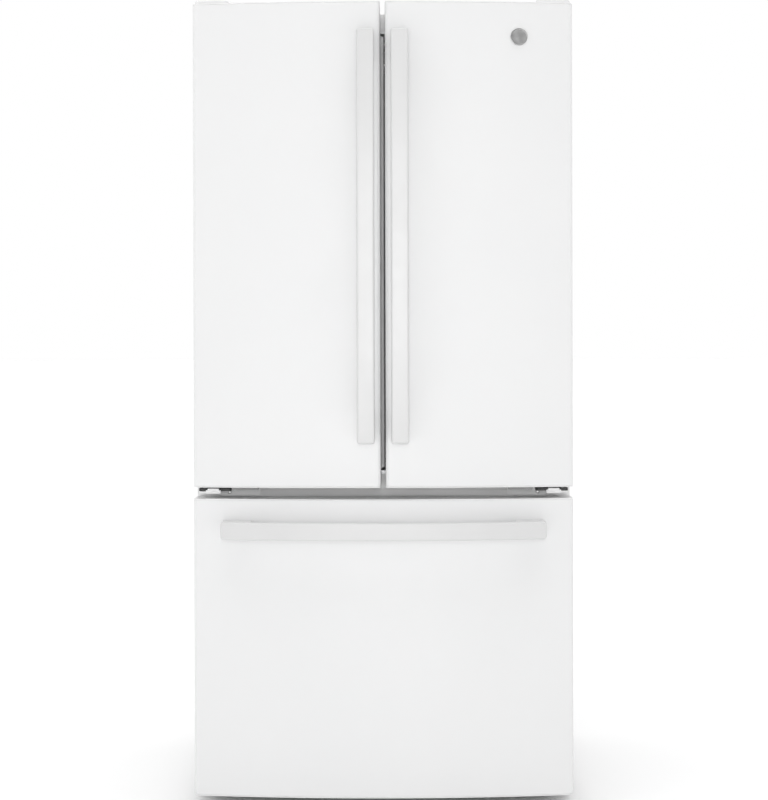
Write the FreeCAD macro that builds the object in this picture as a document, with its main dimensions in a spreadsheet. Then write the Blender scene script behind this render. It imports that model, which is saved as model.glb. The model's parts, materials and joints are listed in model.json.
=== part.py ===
import FreeCAD, Part

import math
import os

import Sketcher

# A french door bottom-freezer refrigerator, in millimetres, +Z up, doors facing -Y, origin at the
# middle of its footprint on the floor. Two upper doors and one freezer drawer share a bowed front.

V = FreeCAD.Vector
doc = FreeCAD.newDocument("refrigerator")
sheet = doc.addObject("Spreadsheet::Sheet", "Dims")

DRIVING = {
    "width": (832, "over the case and over both doors"),
    "case_depth": (622, "case front flange to rear panel"),
    "case_top": (1753, "top of the steel case"),
    "case_foot": (34, "lower edge of the side panels"),
    "steel": (1.2, "painted sheet"),
    "liner_wall": (2.5, "formed plastic liner"),
    "side_wall": (50, "side insulation with both skins"),
    "flange": (40, "front flange of the case"),
    "food_floor": (735, "floor of the fresh food space"),
    "freezer_floor": (92, "floor of the freezer space"),
    "freezer_ceiling": (646, "ceiling of the freezer space"),
    "food_back": (56, "rear insulation behind the fresh food space"),
    "freezer_back": (70, "rear insulation behind the freezer"),
    "machine_top": (290, "roof of the compressor bay"),
    "machine_depth": (230, "compressor bay, from the rear panel"),
    "gasket_gap": (12, "door back to case front when shut"),
    "door_edge": (64, "door thickness at its hinge edge"),
    "bow": (28, "how far the middle of the front stands proud of its edges"),
    "door_floor": (703, "lower edge of the upper doors"),
    "door_top": (1762, "upper edge of the doors"),
    "drawer_floor": (27, "lower edge of the freezer drawer front"),
    "drawer_top": (678, "upper edge of the freezer drawer front"),
    "door_gap": (10.6, "gap between the two upper doors"),
    "cover_top": (1775, "top of the hinge covers"),
    "deck": (2, "steel pan under the case"),
    "foam_floor": (64, "underside of the cabinet's insulation"),
    "hinge_inset": (20, "hinge pin from the side of the door"),
    "hinge_ahead": (33, "hinge pin ahead of the case front"),
    "pin_radius": (4, "door hinge pins"),
    "cap_height": (14, "moulded caps at the door ends"),
    "handle_out": (62, "handle front ahead of the door front"),
    "grip_width": (38, "width of every handle"),
    "grip_thick": (18, "thickness of every handle bar"),
    "handle_low": (801, "lower end of the upright handles"),
    "handle_high": (1695, "upper end of the upright handles"),
    "handle_offset": (37, "upright handle centre from the middle of the front"),
    "bar_half": (353, "half the length of the drawer handle"),
    "bar_low": (594, "lower face of the drawer handle"),
    "post": (65, "length of each handle's end post"),
    "drawer_travel": (420, "how far the freezer drawer pulls out"),
    "roller_radius": (22, "rear rollers"),
    "leg_radius": (6, "threaded levelling leg"),
    "slide_high": (396, "lower edge of the drawer slides"),
    "foot_round": (8, "rounding of the two lower corners of the drawer front"),
    "door_sag": (12, "how far the middle of an upright handle stands proud of its ends"),
    "bar_sag": (34, "how far the middle of the drawer handle stands proud of its ends"),
}


class Size:
    """A length that knows its value and the spreadsheet formula it comes from."""

    def __init__(self, value, formula):
        self.value = float(value)
        self.formula = formula

    def _with(self, sign, other, swap=False):
        first, second = (sized(other), self) if swap else (self, sized(other))
        a, b = first.value, second.value
        value = {"+": a + b, "-": a - b, "*": a * b, "/": a / b if b else 0.0}[sign]
        return Size(value, f"({first.formula} {sign} {second.formula})")

    def __add__(self, other):
        return self._with("+", other)

    def __radd__(self, other):
        return self._with("+", other, swap=True)

    def __sub__(self, other):
        return self._with("-", other)

    def __rsub__(self, other):
        return self._with("-", other, swap=True)

    def __mul__(self, other):
        return self._with("*", other)

    def __rmul__(self, other):
        return self._with("*", other, swap=True)

    def __truediv__(self, other):
        return self._with("/", other)

    def __neg__(self):
        return Size(-self.value, f"(0 - {self.formula})")


def sized(value):
    """A plain number as a Size, so that both can stand in a formula."""
    return value if isinstance(value, Size) else Size(value, f"({float(value)})")


def read_sheet():
    """Fills the spreadsheet and returns its cells as Sizes, by alias."""
    sizes = {}
    for row, (alias, (value, meaning)) in enumerate(DRIVING.items(), start=1):
        sheet.set(f"A{row}", meaning)
        sheet.set(f"B{row}", str(value))
        sheet.setAlias(f"B{row}", alias)
        sizes[alias] = Size(value, f"Dims.{alias}")
    doc.recompute()
    return sizes


D = read_sheet()
CLEAR = 0.3  # between soft or painted faces of two bodies that meet when shut
RUNNING = 0.08  # radial clearance of a pin in its bush

# Places worked out from the driving dimensions.
HALF = D["width"] / 2
DEPTH = D["case_depth"] + D["gasket_gap"] + D["door_edge"] + D["bow"] + D["handle_out"]
REAR = DEPTH / 2
CASE_FRONT = REAR - D["case_depth"]
DOOR_BACK = CASE_FRONT - D["gasket_gap"]
DOOR_FRONT = DOOR_BACK - D["door_edge"] - D["bow"]
FRONT_RADIUS = (HALF * HALF + D["bow"] * D["bow"]) / (D["bow"] * 2)
FRONT_CENTRE = DOOR_FRONT + FRONT_RADIUS
GRIP_FRONT = DOOR_FRONT - D["handle_out"]
FOOD_TOP = D["case_top"] - 44
INSIDE = HALF - D["side_wall"]
LIP = HALF - D["flange"]
FOOD_REAR = REAR - D["food_back"]
FREEZER_REAR = REAR - D["freezer_back"]
BAY_FRONT = REAR - D["machine_depth"]
HINGE_X = HALF - D["hinge_inset"]
HINGE_Y = CASE_FRONT - D["hinge_ahead"]
EDGE = D["door_gap"] / 2
SHELF_FRONT = CASE_FRONT + 133
NODES = {}
SIDES = {"left": -1, "right": 1}


def bind(thing, name, value):
    """Sets a property, and ties it to the spreadsheet if it comes from there."""
    size = sized(value)
    if not name.startswith("Placement"):
        setattr(thing, name, size.value)
    if isinstance(value, Size):
        thing.setExpression(name, value.formula)


UNTURNED = FreeCAD.Rotation()
TURNS = {
    "x": FreeCAD.Rotation(V(0, 1, 0), 90),
    "y": FreeCAD.Rotation(V(1, 0, 0), -90),
    "z": UNTURNED,
}


def place(thing, at, turn=UNTURNED):
    """Puts an object at a point, turned about its own origin."""
    values = [sized(c).value for c in at]
    thing.Placement = FreeCAD.Placement(V(*values), turn)
    for name, value in zip("xyz", at):
        bind(thing, f"Placement.Base.{name}", value)
    return thing


def block(x, y, z):
    """A box between (low, high) along each axis."""
    made = doc.addObject("Part::Box", "block")
    for name, (low, high) in zip(("Length", "Width", "Height"), (x, y, z)):
        bind(made, name, high - low)
    return place(made, (x[0], y[0], z[0]))


def rod(radius, length, at, axis="z"):
    """A cylinder from a point along +X, +Y or +Z."""
    made = doc.addObject("Part::Cylinder", "rod")
    bind(made, "Radius", radius)
    bind(made, "Height", length)
    return place(made, at, TURNS[axis])


def fuse(*parts):
    made = doc.addObject("Part::MultiFuse", "fused")
    made.Shapes = list(parts)
    made.Refine = True
    return made


def cut(base, *tools):
    made = doc.addObject("Part::Cut", "cut")
    made.Base = base
    made.Tool = tools[0] if len(tools) == 1 else fuse(*tools)
    made.Refine = True
    return made


def common(*parts):
    made = doc.addObject("Part::MultiCommon", "shared")
    made.Shapes = list(parts)
    return made


def group(*parts):
    """Separate solids that share one node."""
    made = doc.addObject("Part::Compound", "group")
    made.Links = list(parts)
    return made


def rounded(base, radius, chosen):
    """Rounds the edges of base that chosen(edge) picks."""
    doc.recompute()
    made = doc.addObject("Part::Fillet", "rounded")
    made.Base = base
    edges = enumerate(base.Shape.Edges, start=1)
    made.Edges = [(n, radius, radius) for n, edge in edges if chosen(edge)]
    return made


def upright(edge):
    """Is this a straight edge along Z?"""
    box = edge.BoundBox
    return box.XLength < 0.01 and box.YLength < 0.01


def node(name, thing):
    """Names a finished sub-part."""
    thing.Label = name
    NODES[name] = thing
    return thing


def across(side, near, far):
    """(low, high) in X of a span that is near to far from the middle plane, on one side."""
    return (near, far) if side > 0 else (-far, -near)


# --- PartDesign bodies ---------------------------------------------------------------------------


def body(at=(0, 0, 0), turn=UNTURNED):
    return place(doc.addObject("PartDesign::Body", "body"), at, turn)


def origin_part(owner, role):
    return next(f for f in owner.Origin.OriginFeatures if f.Role == role)


def outline(owner, plane, corners):
    """A closed sketch through corners on one of the body's planes, tied to the sheet."""
    made = owner.newObject("Sketcher::SketchObject", "outline")
    made.AttachmentSupport = (origin_part(owner, plane), [""])
    made.MapMode = "FlatFace"
    points = [(sized(a), sized(b)) for a, b in corners]
    places = [V(a.value, b.value, 0) for a, b in points]
    for n, start in enumerate(places):
        made.addGeometry(Part.LineSegment(start, places[(n + 1) % len(places)]), False)
    for n in range(len(places)):
        made.addConstraint(Sketcher.Constraint("Coincident", n, 2, (n + 1) % len(places), 1))
    for n, (a, b) in enumerate(points):
        for kind, size in (("DistanceX", a), ("DistanceY", b)):
            made.addConstraint(Sketcher.Constraint(kind, -1, 1, n, 1, size.value))
            made.setExpression(f"Constraints[{made.ConstraintCount - 1}]", size.formula)
    return made


def circle(owner, plane, centre, radius):
    """A sketch of one circle, tied to the sheet."""
    made = owner.newObject("Sketcher::SketchObject", "circle")
    made.AttachmentSupport = (origin_part(owner, plane), [""])
    made.MapMode = "FlatFace"
    a, b, r = (sized(c) for c in (*centre, radius))
    made.addGeometry(Part.Circle(V(a.value, b.value, 0), V(0, 0, 1), r.value), False)
    made.addConstraint(Sketcher.Constraint("DistanceX", -1, 1, 0, 3, a.value))
    made.addConstraint(Sketcher.Constraint("DistanceY", -1, 1, 0, 3, b.value))
    made.addConstraint(Sketcher.Constraint("Radius", 0, r.value))
    for n, size in enumerate((a, b, r)):
        made.setExpression(f"Constraints[{n}]", size.formula)
    return made


def pad(owner, sketch, length, reverse=False):
    made = owner.newObject("PartDesign::Pad", "pad")
    made.Profile = sketch
    bind(made, "Length", length)
    made.Reversed = reverse
    owner.Tip = made
    return made


def pocket(owner, sketch):
    """A cut right through, both ways from the sketch's plane."""
    made = owner.newObject("PartDesign::Pocket", "pocket")
    made.Profile = sketch
    made.Type = "ThroughAll"
    made.Midplane = True
    owner.Tip = made
    return made


def turned(owner, corners):
    """A revolution about the body's own Z axis of an outline in its XZ plane."""
    made = owner.newObject("PartDesign::Revolution", "turned")
    made.Profile = outline(owner, "XZ_Plane", corners)
    made.ReferenceAxis = (origin_part(owner, "Z_Axis"), [""])
    made.Angle = 360
    owner.Tip = made
    return owner


def row_of(owner, feature, axis, length, count):
    made = owner.newObject("PartDesign::LinearPattern", "row")
    made.Originals = [feature]
    made.Direction = (origin_part(owner, axis), [""])
    bind(made, "Length", length)
    made.Occurrences = count
    owner.Tip = made
    return made


def ring_of(owner, feature, count):
    made = owner.newObject("PartDesign::PolarPattern", "ring")
    made.Originals = [feature]
    made.Axis = (origin_part(owner, "Z_Axis"), [""])
    made.Angle = 360
    made.Occurrences = count
    owner.Tip = made
    return made


def rectangle(low, high):
    return [low, (high[0], low[1]), high, (low[0], high[1])]


# --- Cabinet -------------------------------------------------------------------------------------


def outer_case():
    """One sheet bent into both sides and the top, with a flange turned in round the front."""
    t = D["steel"]
    shell = block((-HALF, HALF), (CASE_FRONT, REAR - 1), (D["case_foot"], D["case_top"]))
    room = block(
        (t - HALF, HALF - t), (CASE_FRONT + t, REAR + 9), (D["case_foot"] - 9, D["case_top"] - t)
    )
    mouth = block((-LIP, LIP), (CASE_FRONT - 9, CASE_FRONT + 9), (0, D["case_top"] - 40))
    return cut(shell, room, mouth)


def back_panel():
    """Flat rear sheet above the compressor bay, with two shallow pressed swages."""
    t = D["steel"]
    panel = block(
        (t - HALF, HALF - t), (REAR - 1, REAR), (D["machine_top"], D["case_top"] - t)
    )
    swages = [
        block(across(s, 150, 175), (REAR - 0.4, REAR + 9), (420, D["case_top"] - 150))
        for s in SIDES.values()
    ]
    return cut(panel, *swages)


def liner(low, high, rear, floor_lip, roof_lip):
    """(outer solid, inner room) of a formed liner with a lip that covers the foam's front edge."""
    t = D["liner_wall"]
    outside = block((-INSIDE - t, INSIDE + t), (CASE_FRONT, rear + t), (low - t, high + t))
    lip = block((-LIP, LIP), (CASE_FRONT, CASE_FRONT + t), (floor_lip, roof_lip))
    inside = block((-INSIDE, INSIDE), (CASE_FRONT - 9, rear), (low, high))
    return outside, lip, inside


def fresh_food_liner():
    outside, lip, inside = liner(
        D["food_floor"], FOOD_TOP, FOOD_REAR, D["food_floor"] - 10, D["case_top"] - 40
    )
    ledges = [
        block(across(s, INSIDE - 6, INSIDE), (SHELF_FRONT + 20, FOOD_REAR - 20), (962, 972))
        for s in SIDES.values()
    ]
    return fuse(cut(fuse(outside, lip), inside), *ledges)


STEP_FRONT = BAY_FRONT - 15
STEP_TOP = D["machine_top"] + 12


def freezer_liner():
    """The freezer's liner steps up over the compressor bay at its rear."""
    t = D["liner_wall"]
    outside, lip, inside = liner(
        D["freezer_floor"],
        D["freezer_ceiling"],
        FREEZER_REAR,
        D["foam_floor"],
        D["freezer_ceiling"] + 10,
    )
    wide = (-HALF, HALF)
    step_out = block(wide, (STEP_FRONT + t, REAR), (0, STEP_TOP - t))
    step_in = block(wide, (STEP_FRONT, REAR), (0, STEP_TOP))
    ledges = [
        block(across(s, INSIDE - 8, INSIDE), (CASE_FRONT + 30, FREEZER_REAR - 90), (548, 558))
        for s in SIDES.values()
    ]
    return fuse(cut(fuse(outside, lip), step_out, cut(inside, step_in)), *ledges)


def cabinet_foam():
    """Insulation that fills the room between the case and both liners."""
    t, wall = D["steel"], D["liner_wall"]
    whole = block(
        (t - HALF, HALF - t), (CASE_FRONT + wall, REAR - 1), (D["foam_floor"], D["case_top"] - t)
    )
    food = block(
        (-INSIDE - wall, INSIDE + wall),
        (CASE_FRONT - 9, FOOD_REAR + wall),
        (D["food_floor"] - wall, FOOD_TOP + wall),
    )
    cold = block(
        (-INSIDE - wall, INSIDE + wall),
        (CASE_FRONT - 9, FREEZER_REAR + wall),
        (D["freezer_floor"] - wall, D["freezer_ceiling"] + wall),
    )
    step = block((-HALF, HALF), (STEP_FRONT + wall, REAR), (0, STEP_TOP - wall))
    bay = block((-HALF, HALF), (BAY_FRONT, REAR + 9), (0, D["machine_top"]))
    rail = block((-LIP, LIP), (CASE_FRONT - 9, CASE_FRONT + 14), (656, 725))
    return cut(whole, food, cut(cold, step), bay, rail)


def center_rail():
    """Painted channel across the front between the two compartments."""
    low, high = D["freezer_ceiling"] + 10, D["food_floor"] - 10
    whole = block((-LIP, LIP), (CASE_FRONT, CASE_FRONT + 14), (low, high))
    hollow = block((-HALF, HALF), (CASE_FRONT + 1.5, CASE_FRONT + 20), (low + 1.5, high - 1.5))
    return cut(whole, hollow)


LEG_X = HALF - 52
LEG_Y = CASE_FRONT + 45
ROLLER_X = HALF - 60
ROLLER_Y = REAR - 52


def base_frame():
    """Pan under the case, a front cross rail, bosses for the legs and ears for the rollers."""
    foot = D["case_foot"]
    deck = foot - D["deck"]
    parts = [
        block((2 - HALF, HALF - 2), (CASE_FRONT + 6, REAR - 4), (deck, foot)),
        block((-LIP, LIP), (CASE_FRONT, CASE_FRONT + 12), (foot - 6, D["foam_floor"])),
    ]
    holes = []
    for s in SIDES.values():
        parts.append(rod(2 * D["leg_radius"], 12, (LEG_X * s, LEG_Y, foot - 12)))
        holes.append(rod(D["leg_radius"] + RUNNING, 40, (LEG_X * s, LEG_Y, 10)))
        for inner, outer in ((ROLLER_X - 18, ROLLER_X - 14), (ROLLER_X + 14, ROLLER_X + 18)):
            ear = (ROLLER_Y - 16, ROLLER_Y + 16)
            parts.append(block(across(s, inner, outer), ear, (12, foot)))
        low, high = across(s, ROLLER_X - 30, ROLLER_X + 30)
        holes.append(rod(4 + RUNNING, high - low, (low, ROLLER_Y, D["roller_radius"]), "x"))
        slot = across(s, ROLLER_X - 14, ROLLER_X + 14)
        reach = D["roller_radius"] + 4
        holes.append(block(slot, (ROLLER_Y - reach, ROLLER_Y + reach), (0, foot + 1)))
    return cut(fuse(*parts), *holes)


def toe_grille():
    """Slotted kick plate under the front, behind the drawer's lower edge."""
    owner = body((0, CASE_FRONT + 20, 12))
    plate = rectangle((20 - HALF, 0), (HALF - 20, D["case_foot"] - D["deck"] - 12))
    pad(owner, outline(owner, "XZ_Plane", plate), 6)
    hole = pocket(owner, outline(owner, "XZ_Plane", rectangle((-330, 4), (-310, 10))))
    row_of(owner, hole, "X_Axis", 640, 17)
    return owner


def machine_cover():
    """Vented cover over the compressor bay, held on the rear."""
    t = D["steel"]
    rise = D["machine_top"] - D["case_foot"]
    owner = body((0, REAR, D["case_foot"]))
    pad(owner, outline(owner, "XZ_Plane", rectangle((t - HALF, 0), (HALF - t, rise))), 2)
    low = pocket(owner, outline(owner, "XZ_Plane", rectangle((-340, 30), (-332, 110))))
    row_of(owner, low, "X_Axis", 260, 14)
    high = pocket(owner, outline(owner, "XZ_Plane", rectangle((60, 140), (68, 220))))
    row_of(owner, high, "X_Axis", 260, 14)
    return owner


def compressor():
    """Welded shell of two drawn cups on a foot plate with four rubber mounts."""
    owner = body((215, REAR - 118, D["case_foot"] + 16))
    turned(
        owner,
        [(0, 0), (52, 0), (68, 10), (72, 30), (72, 72), (76, 74), (76, 80), (72, 82),
         (72, 120), (66, 142), (48, 158), (20, 164), (0, 165)],
    )
    y, z = REAR - 118, D["case_foot"]
    plate = block((115, 315), (y - 60, y + 60), (z + 12, z + 16))
    mounts = [
        rod(11, 12, (215 + dx, y + dy, z)) for dx in (-85, 85) for dy in (-46, 46)
    ]
    box = block((120, 146), (y - 30, y + 30), (z + 60, z + 125))
    pipes = [rod(4, 60, (250, y + 20, z + 165)), rod(3, 50, (190, y - 25, z + 165))]
    return fuse(owner, plate, box, *mounts, *pipes)


def serpentine(low, high, reach, rows, pitch, radius, upward):
    """A pipe path of straight runs joined by half turns, in X and the upward direction."""
    edges, points = [], []
    for n in range(rows):
        a, b = (low, high) if n % 2 == 0 else (high, low)
        rise = upward * (pitch * n)
        start, end = V(a, reach, 0) + rise, V(b, reach, 0) + rise
        edges.append(Part.LineSegment(start, end).toShape())
        if n + 1 < rows:
            out = 1 if b > a else -1
            middle = end + upward * (pitch / 2) + V(out * pitch / 2, 0, 0)
            edges.append(Part.Arc(end, middle, end + upward * pitch).toShape())
    path = Part.Wire(edges)
    start = Part.Wire(Part.makeCircle(radius, edges[0].Vertexes[0].Point, V(1, 0, 0)))
    return path.makePipeShell([start], True, False)


def shaped(solid):
    """A document object for a shape that neither primitives nor a body can make."""
    made = doc.addObject("Part::Feature", "shaped")
    made.Shape = solid
    return made


def condenser_coil():
    """Two layers of serpentine tube joined by vertical wires, on the warm side."""
    y, z = REAR.value - 150, D["case_foot"].value + 43
    layers = [
        serpentine(-340, -120, y + 60 * n, 8, 24, 4, V(0, 0, 1)).translated(V(0, 0, z))
        for n in range(2)
    ]
    wires = [
        Part.makeCylinder(1.5, 180, V(-330 + 20 * n, y + side, z - 6))
        for n in range(11)
        for side in (-3.5, 63.5)
    ]
    feet = [Part.makeBox(6, 72, 40, V(x, y - 6, z - 40)) for x in (-320, -146)]
    whole = layers[0].multiFuse(layers[1:] + wires + feet)
    link = Part.makeCylinder(4, 60, V(-340, y, z), V(0, 1, 0))
    return shaped(whole.fuse(link))


FAN_X = -62


def condenser_fan_motor():
    """Shroud plate with a round mouth, three struts and the motor that carries the fan."""
    y, z = REAR - 118, D["case_foot"] + 95
    plate = cut(
        block((FAN_X - 3, FAN_X), (y - 80, y + 80), (D["case_foot"], z + 78)),
        rod(68, 20, (FAN_X - 10, y, z), "x"),
    )
    struts = [
        block((FAN_X - 3, FAN_X + 3), (y - 75, y + 75), (z - 4, z + 4)),
        block((FAN_X - 3, FAN_X + 3), (y - 4, y + 4), (z - 75, z + 75)),
    ]
    motor = rod(22, 34, (FAN_X - 3, y, z), "x")
    shaft = rod(3, 30, (FAN_X + 31, y, z), "x")
    return fuse(plate, *struts, motor, shaft)


def fan(at, turn, radius, count, bore):
    """A hub with flat pitched blades and a bore for the motor shaft."""
    owner = body(at, turn)
    hub = circle(owner, "XY_Plane", (0, 0), radius * 0.28)
    pad(owner, hub, 16)
    blade = pad(
        owner,
        outline(
            owner,
            "XZ_Plane",
            [(radius * 0.2, 5), (radius, 3), (radius, 6), (radius * 0.2, 8)],
        ),
        radius * 0.55,
    )
    ring_of(owner, blade, count)
    pocket(owner, circle(owner, "XY_Plane", (0, 0), bore))
    return owner


def condenser_fan():
    return fan((FAN_X + 36, REAR - 118, D["case_foot"] + 95), TURNS["x"], 60, 5, 3 + RUNNING)


def drain_pan():
    z = D["case_foot"]
    outer = block((-330, -90), (REAR - 190, REAR - 40), (z, z + 22))
    return cut(outer, block((-327, -93), (REAR - 187, REAR - 43), (z + 3, z + 40)))


COVER_Y = FREEZER_REAR - 84


def evaporator():
    """Finned tube block behind the freezer's rear panel, standing on its two end plates."""
    y = COVER_Y.value + 38
    low = STEP_TOP.value
    tubes = [
        serpentine(-230, 230, y + 24 * n, 6, 36, 4, V(0, 0, 1)).translated(V(0, 0, low + 43))
        for n in range(2)
    ]
    fins = [Part.makeBox(0.8, 52, 210, V(-216 + 18 * n, y - 14, low + 28)) for n in range(25)]
    plates = [Part.makeBox(1.5, 56, 240, V(x, y - 16, low)) for x in (-223, 221.5)]
    link = Part.makeCylinder(4, 24, V(-230, y, low + 43), V(0, 1, 0))
    return shaped(tubes[0].multiFuse(tubes[1:] + fins + plates + [link]))


FAN_MOUTH = STEP_TOP + 292


def evaporator_cover():
    """Rear panel of the freezer, with return slots and a fan mouth with the motor's cradle."""
    owner = body((0, COVER_Y, STEP_TOP))
    high = D["freezer_ceiling"] - STEP_TOP
    pad(owner, outline(owner, "XZ_Plane", rectangle((1 - INSIDE, 0), (INSIDE - 1, high - 0.5))), 3)
    pocket(owner, circle(owner, "XZ_Plane", (0, 292), 44))
    slot = pocket(owner, outline(owner, "XZ_Plane", rectangle((-300, 18), (-270, 26))))
    row_of(owner, slot, "X_Axis", 570, 12)
    bars = [
        block((-46, 46), (COVER_Y - 3, COVER_Y), (FAN_MOUTH - 4, FAN_MOUTH + 4)),
        block((-4, 4), (COVER_Y - 3, COVER_Y), (FAN_MOUTH - 46, FAN_MOUTH + 46)),
    ]
    motor = rod(14, 12, (0, COVER_Y - 2, FAN_MOUTH), "y")
    shaft = rod(2.5, 20, (0, COVER_Y + 10, FAN_MOUTH), "y")
    return fuse(owner, *bars, motor, shaft)


def evaporator_fan():
    return fan((0, COVER_Y + 12, FAN_MOUTH), TURNS["y"], 38, 4, 2.5 + RUNNING)


def air_duct():
    """Moulded tower on the rear wall that feeds cold air to each shelf."""
    outer = block((-128, 128), (FOOD_REAR - 22, FOOD_REAR), (1000, FOOD_TOP - 14))
    room = block((-122, 122), (FOOD_REAR - 18, FOOD_REAR + 1), (1006, FOOD_TOP - 20))
    slots = [
        block(across(s, 40, 100), (FOOD_REAR - 30, FOOD_REAR - 10), (z, z + 10))
        for s in SIDES.values()
        for z in (1120, 1350, 1380, 1600, 1630)
    ]
    return cut(outer, room, *slots)


PANEL_Y = CASE_FRONT + 78
PANEL_Z = FOOD_TOP - 34


def control_panel():
    """Ceiling housing with the temperature buttons on its front face."""
    shell = block((-115, 115), (PANEL_Y, PANEL_Y + 120), (PANEL_Z, FOOD_TOP))
    room = block((-112, 112), (PANEL_Y + 3, PANEL_Y + 117), (PANEL_Z + 3, FOOD_TOP + 5))
    guides = [
        rod(8 + 0.4, 12, (x, PANEL_Y - 4, PANEL_Z + 17), "y") for x in (-40, 40)
    ]
    return cut(shell, room, *guides)


def temp_button(x):
    """A round key with a collar behind the panel that stops it falling out."""
    owner = body((x, PANEL_Y - 3, PANEL_Z + 17), TURNS["y"])
    face = [(0, 0.6), (6, 0), (7.4, 0), (8, 0.6)]
    return turned(owner, [*face, (8, 6.4), (11, 6.4), (11, 8), (0, 8)])


def light_lens():
    lens = block((-70, 70), (PANEL_Y + 170, PANEL_Y + 290), (FOOD_TOP - 9, FOOD_TOP))
    return rounded(lens, 4, lambda e: e.BoundBox.ZMax < FOOD_TOP.value - 5)


TRACK_XS = (-345, -150, 150, 345)


def shelf_tracks():
    """Slotted steel ladders that the shelf brackets hook into."""
    made = []
    for x in TRACK_XS:
        owner = body((x, FOOD_REAR, 1010))
        pad(owner, outline(owner, "XZ_Plane", rectangle((-9, 0), (9, 670))), 5)
        slot = pocket(owner, outline(owner, "XZ_Plane", rectangle((-2.5, 12), (2.5, 28))))
        row_of(owner, slot, "Z_Axis", 600, 16)
        made.append(owner)
    return group(*made)


SHELF_REAR = FOOD_REAR - 24
SHELF_LEVELS = (1210, 1440)


def shelf_places():
    return [(s, z) for s in SIDES.values() for z in SHELF_LEVELS]


def shelf_glass():
    """Four tempered panes."""
    return group(
        *[
            block(across(s, 12, INSIDE - 10), (SHELF_FRONT + 8, SHELF_REAR - 8), (z, z + 4))
            for s, z in shelf_places()
        ]
    )


def shelf_frame(s, z):
    """A moulded rim round one pane, on two steel arms that hook into the ladders."""
    outer = block(across(s, 4, INSIDE - 2), (SHELF_FRONT, SHELF_REAR), (z - 6, z + 6))
    inner = block(across(s, 16, INSIDE - 14), (SHELF_FRONT + 12, SHELF_REAR - 12), (z - 9, z + 9))
    seat = block(across(s, 12, INSIDE - 10), (SHELF_FRONT + 8, SHELF_REAR - 8), (z, z + 4))
    arms = []
    for x in TRACK_XS:
        if x * s > 0:
            tall = block((x - 1.5, x + 1.5), (SHELF_REAR - 120, FOOD_REAR - 5), (z - 40, z - 6))
            slim = block((x - 1.5, x + 1.5), (SHELF_FRONT + 30, FOOD_REAR - 30), (z - 18, z - 6))
            arms += [tall, slim]
    return fuse(cut(outer, inner, seat), *arms)


def shelf_frames():
    return group(*[shelf_frame(s, z) for s, z in shelf_places()])


CRISPER_FRONT = SHELF_FRONT
CRISPER_LOW = D["food_floor"] + 0.6
CRISPER_HIGH = 958


def crisper_cover():
    """Glass-topped frame over both vegetable drawers, resting on the liner's ledges."""
    outer = block((2 - INSIDE, INSIDE - 2), (SHELF_FRONT + 6, FOOD_REAR - 6), (972, 984))
    hollows = [
        block(across(s, 16, INSIDE - 18), (SHELF_FRONT + 22, FOOD_REAR - 22), (965, 980))
        for s in SIDES.values()
    ]
    divider = block((-3, 3), (SHELF_FRONT + 20, FOOD_REAR - 20), (D["food_floor"], 972))
    return fuse(cut(outer, *hollows), divider)


def tub(x, y, z, wall):
    """An open-topped tray."""
    outer = block(x, y, z)
    inner = block(
        (x[0] + wall, x[1] - wall), (y[0] + wall, y[1] - wall), (z[0] + wall, z[1] + 9)
    )
    return cut(outer, inner)


def crisper(side):
    """Clear vegetable drawer with a thick front, a finger grip and side runners."""
    x = across(side, 10, INSIDE - 14)
    y = (CRISPER_FRONT, FOOD_REAR - 40)
    tray = tub(x, y, (CRISPER_LOW, CRISPER_HIGH), 3)
    face = (CRISPER_FRONT - 6, CRISPER_FRONT)
    front = block(across(side, 7, INSIDE - 8), face, (CRISPER_LOW, CRISPER_HIGH + 10))
    grip = block(
        across(side, 90, INSIDE - 90),
        (CRISPER_FRONT - 20, face[0]),
        (CRISPER_HIGH - 22, CRISPER_HIGH - 16),
    )
    return fuse(tray, front, grip)


def top_hinges():
    """Raised leaf on the case's top with the pin that hangs down into each door's top cap."""
    made = []
    top = D["door_top"]
    for s in SIDES.values():
        x = across(s, HINGE_X - 50, HINGE_X + 12)
        leaf = block(x, (HINGE_Y - 14, CASE_FRONT + 62), (top + 1, top + 5))
        riser = block(x, (CASE_FRONT + 8, CASE_FRONT + 62), (D["case_top"], top + 1))
        pin = rod(D["pin_radius"], 28, (HINGE_X * s, HINGE_Y, top - 25))
        made.append(rounded(fuse(leaf, riser, pin), 6, lambda e: upright(e) and e.Length < 6
                            and e.BoundBox.YMin < HINGE_Y.value - 10))
    return group(*made)


def hinge_covers():
    """Moulded caps over the top hinges."""
    made = []
    behind = (CASE_FRONT + 1, CASE_FRONT + 80)
    whole_depth = (HINGE_Y - 20, CASE_FRONT + 80)
    for s in SIDES.values():
        x = across(s, HINGE_X - 58, HINGE_X + 18)
        whole = fuse(
            block(x, behind, (D["case_top"], D["cover_top"])),
            block(x, whole_depth, (D["door_top"] + 1, D["cover_top"])),
        )
        soft = rounded(whole, 6, lambda e: e.BoundBox.ZMin > D["cover_top"].value - 1
                       or (upright(e) and (e.BoundBox.YMin < HINGE_Y.value - 15
                                           or e.BoundBox.YMin > CASE_FRONT.value + 75)))
        low = block(
            across(s, HINGE_X - 55.5, HINGE_X + 15.5),
            (CASE_FRONT + 3.5, CASE_FRONT + 77.5),
            (D["case_top"] - 1, D["cover_top"] - 2.5),
        )
        front = block(
            across(s, HINGE_X - 55.5, HINGE_X + 15.5),
            (HINGE_Y - 17.5, CASE_FRONT + 77.5),
            (D["door_top"] - 1, D["cover_top"] - 2.5),
        )
        made.append(cut(soft, low, front))
    return group(*made)


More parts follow.
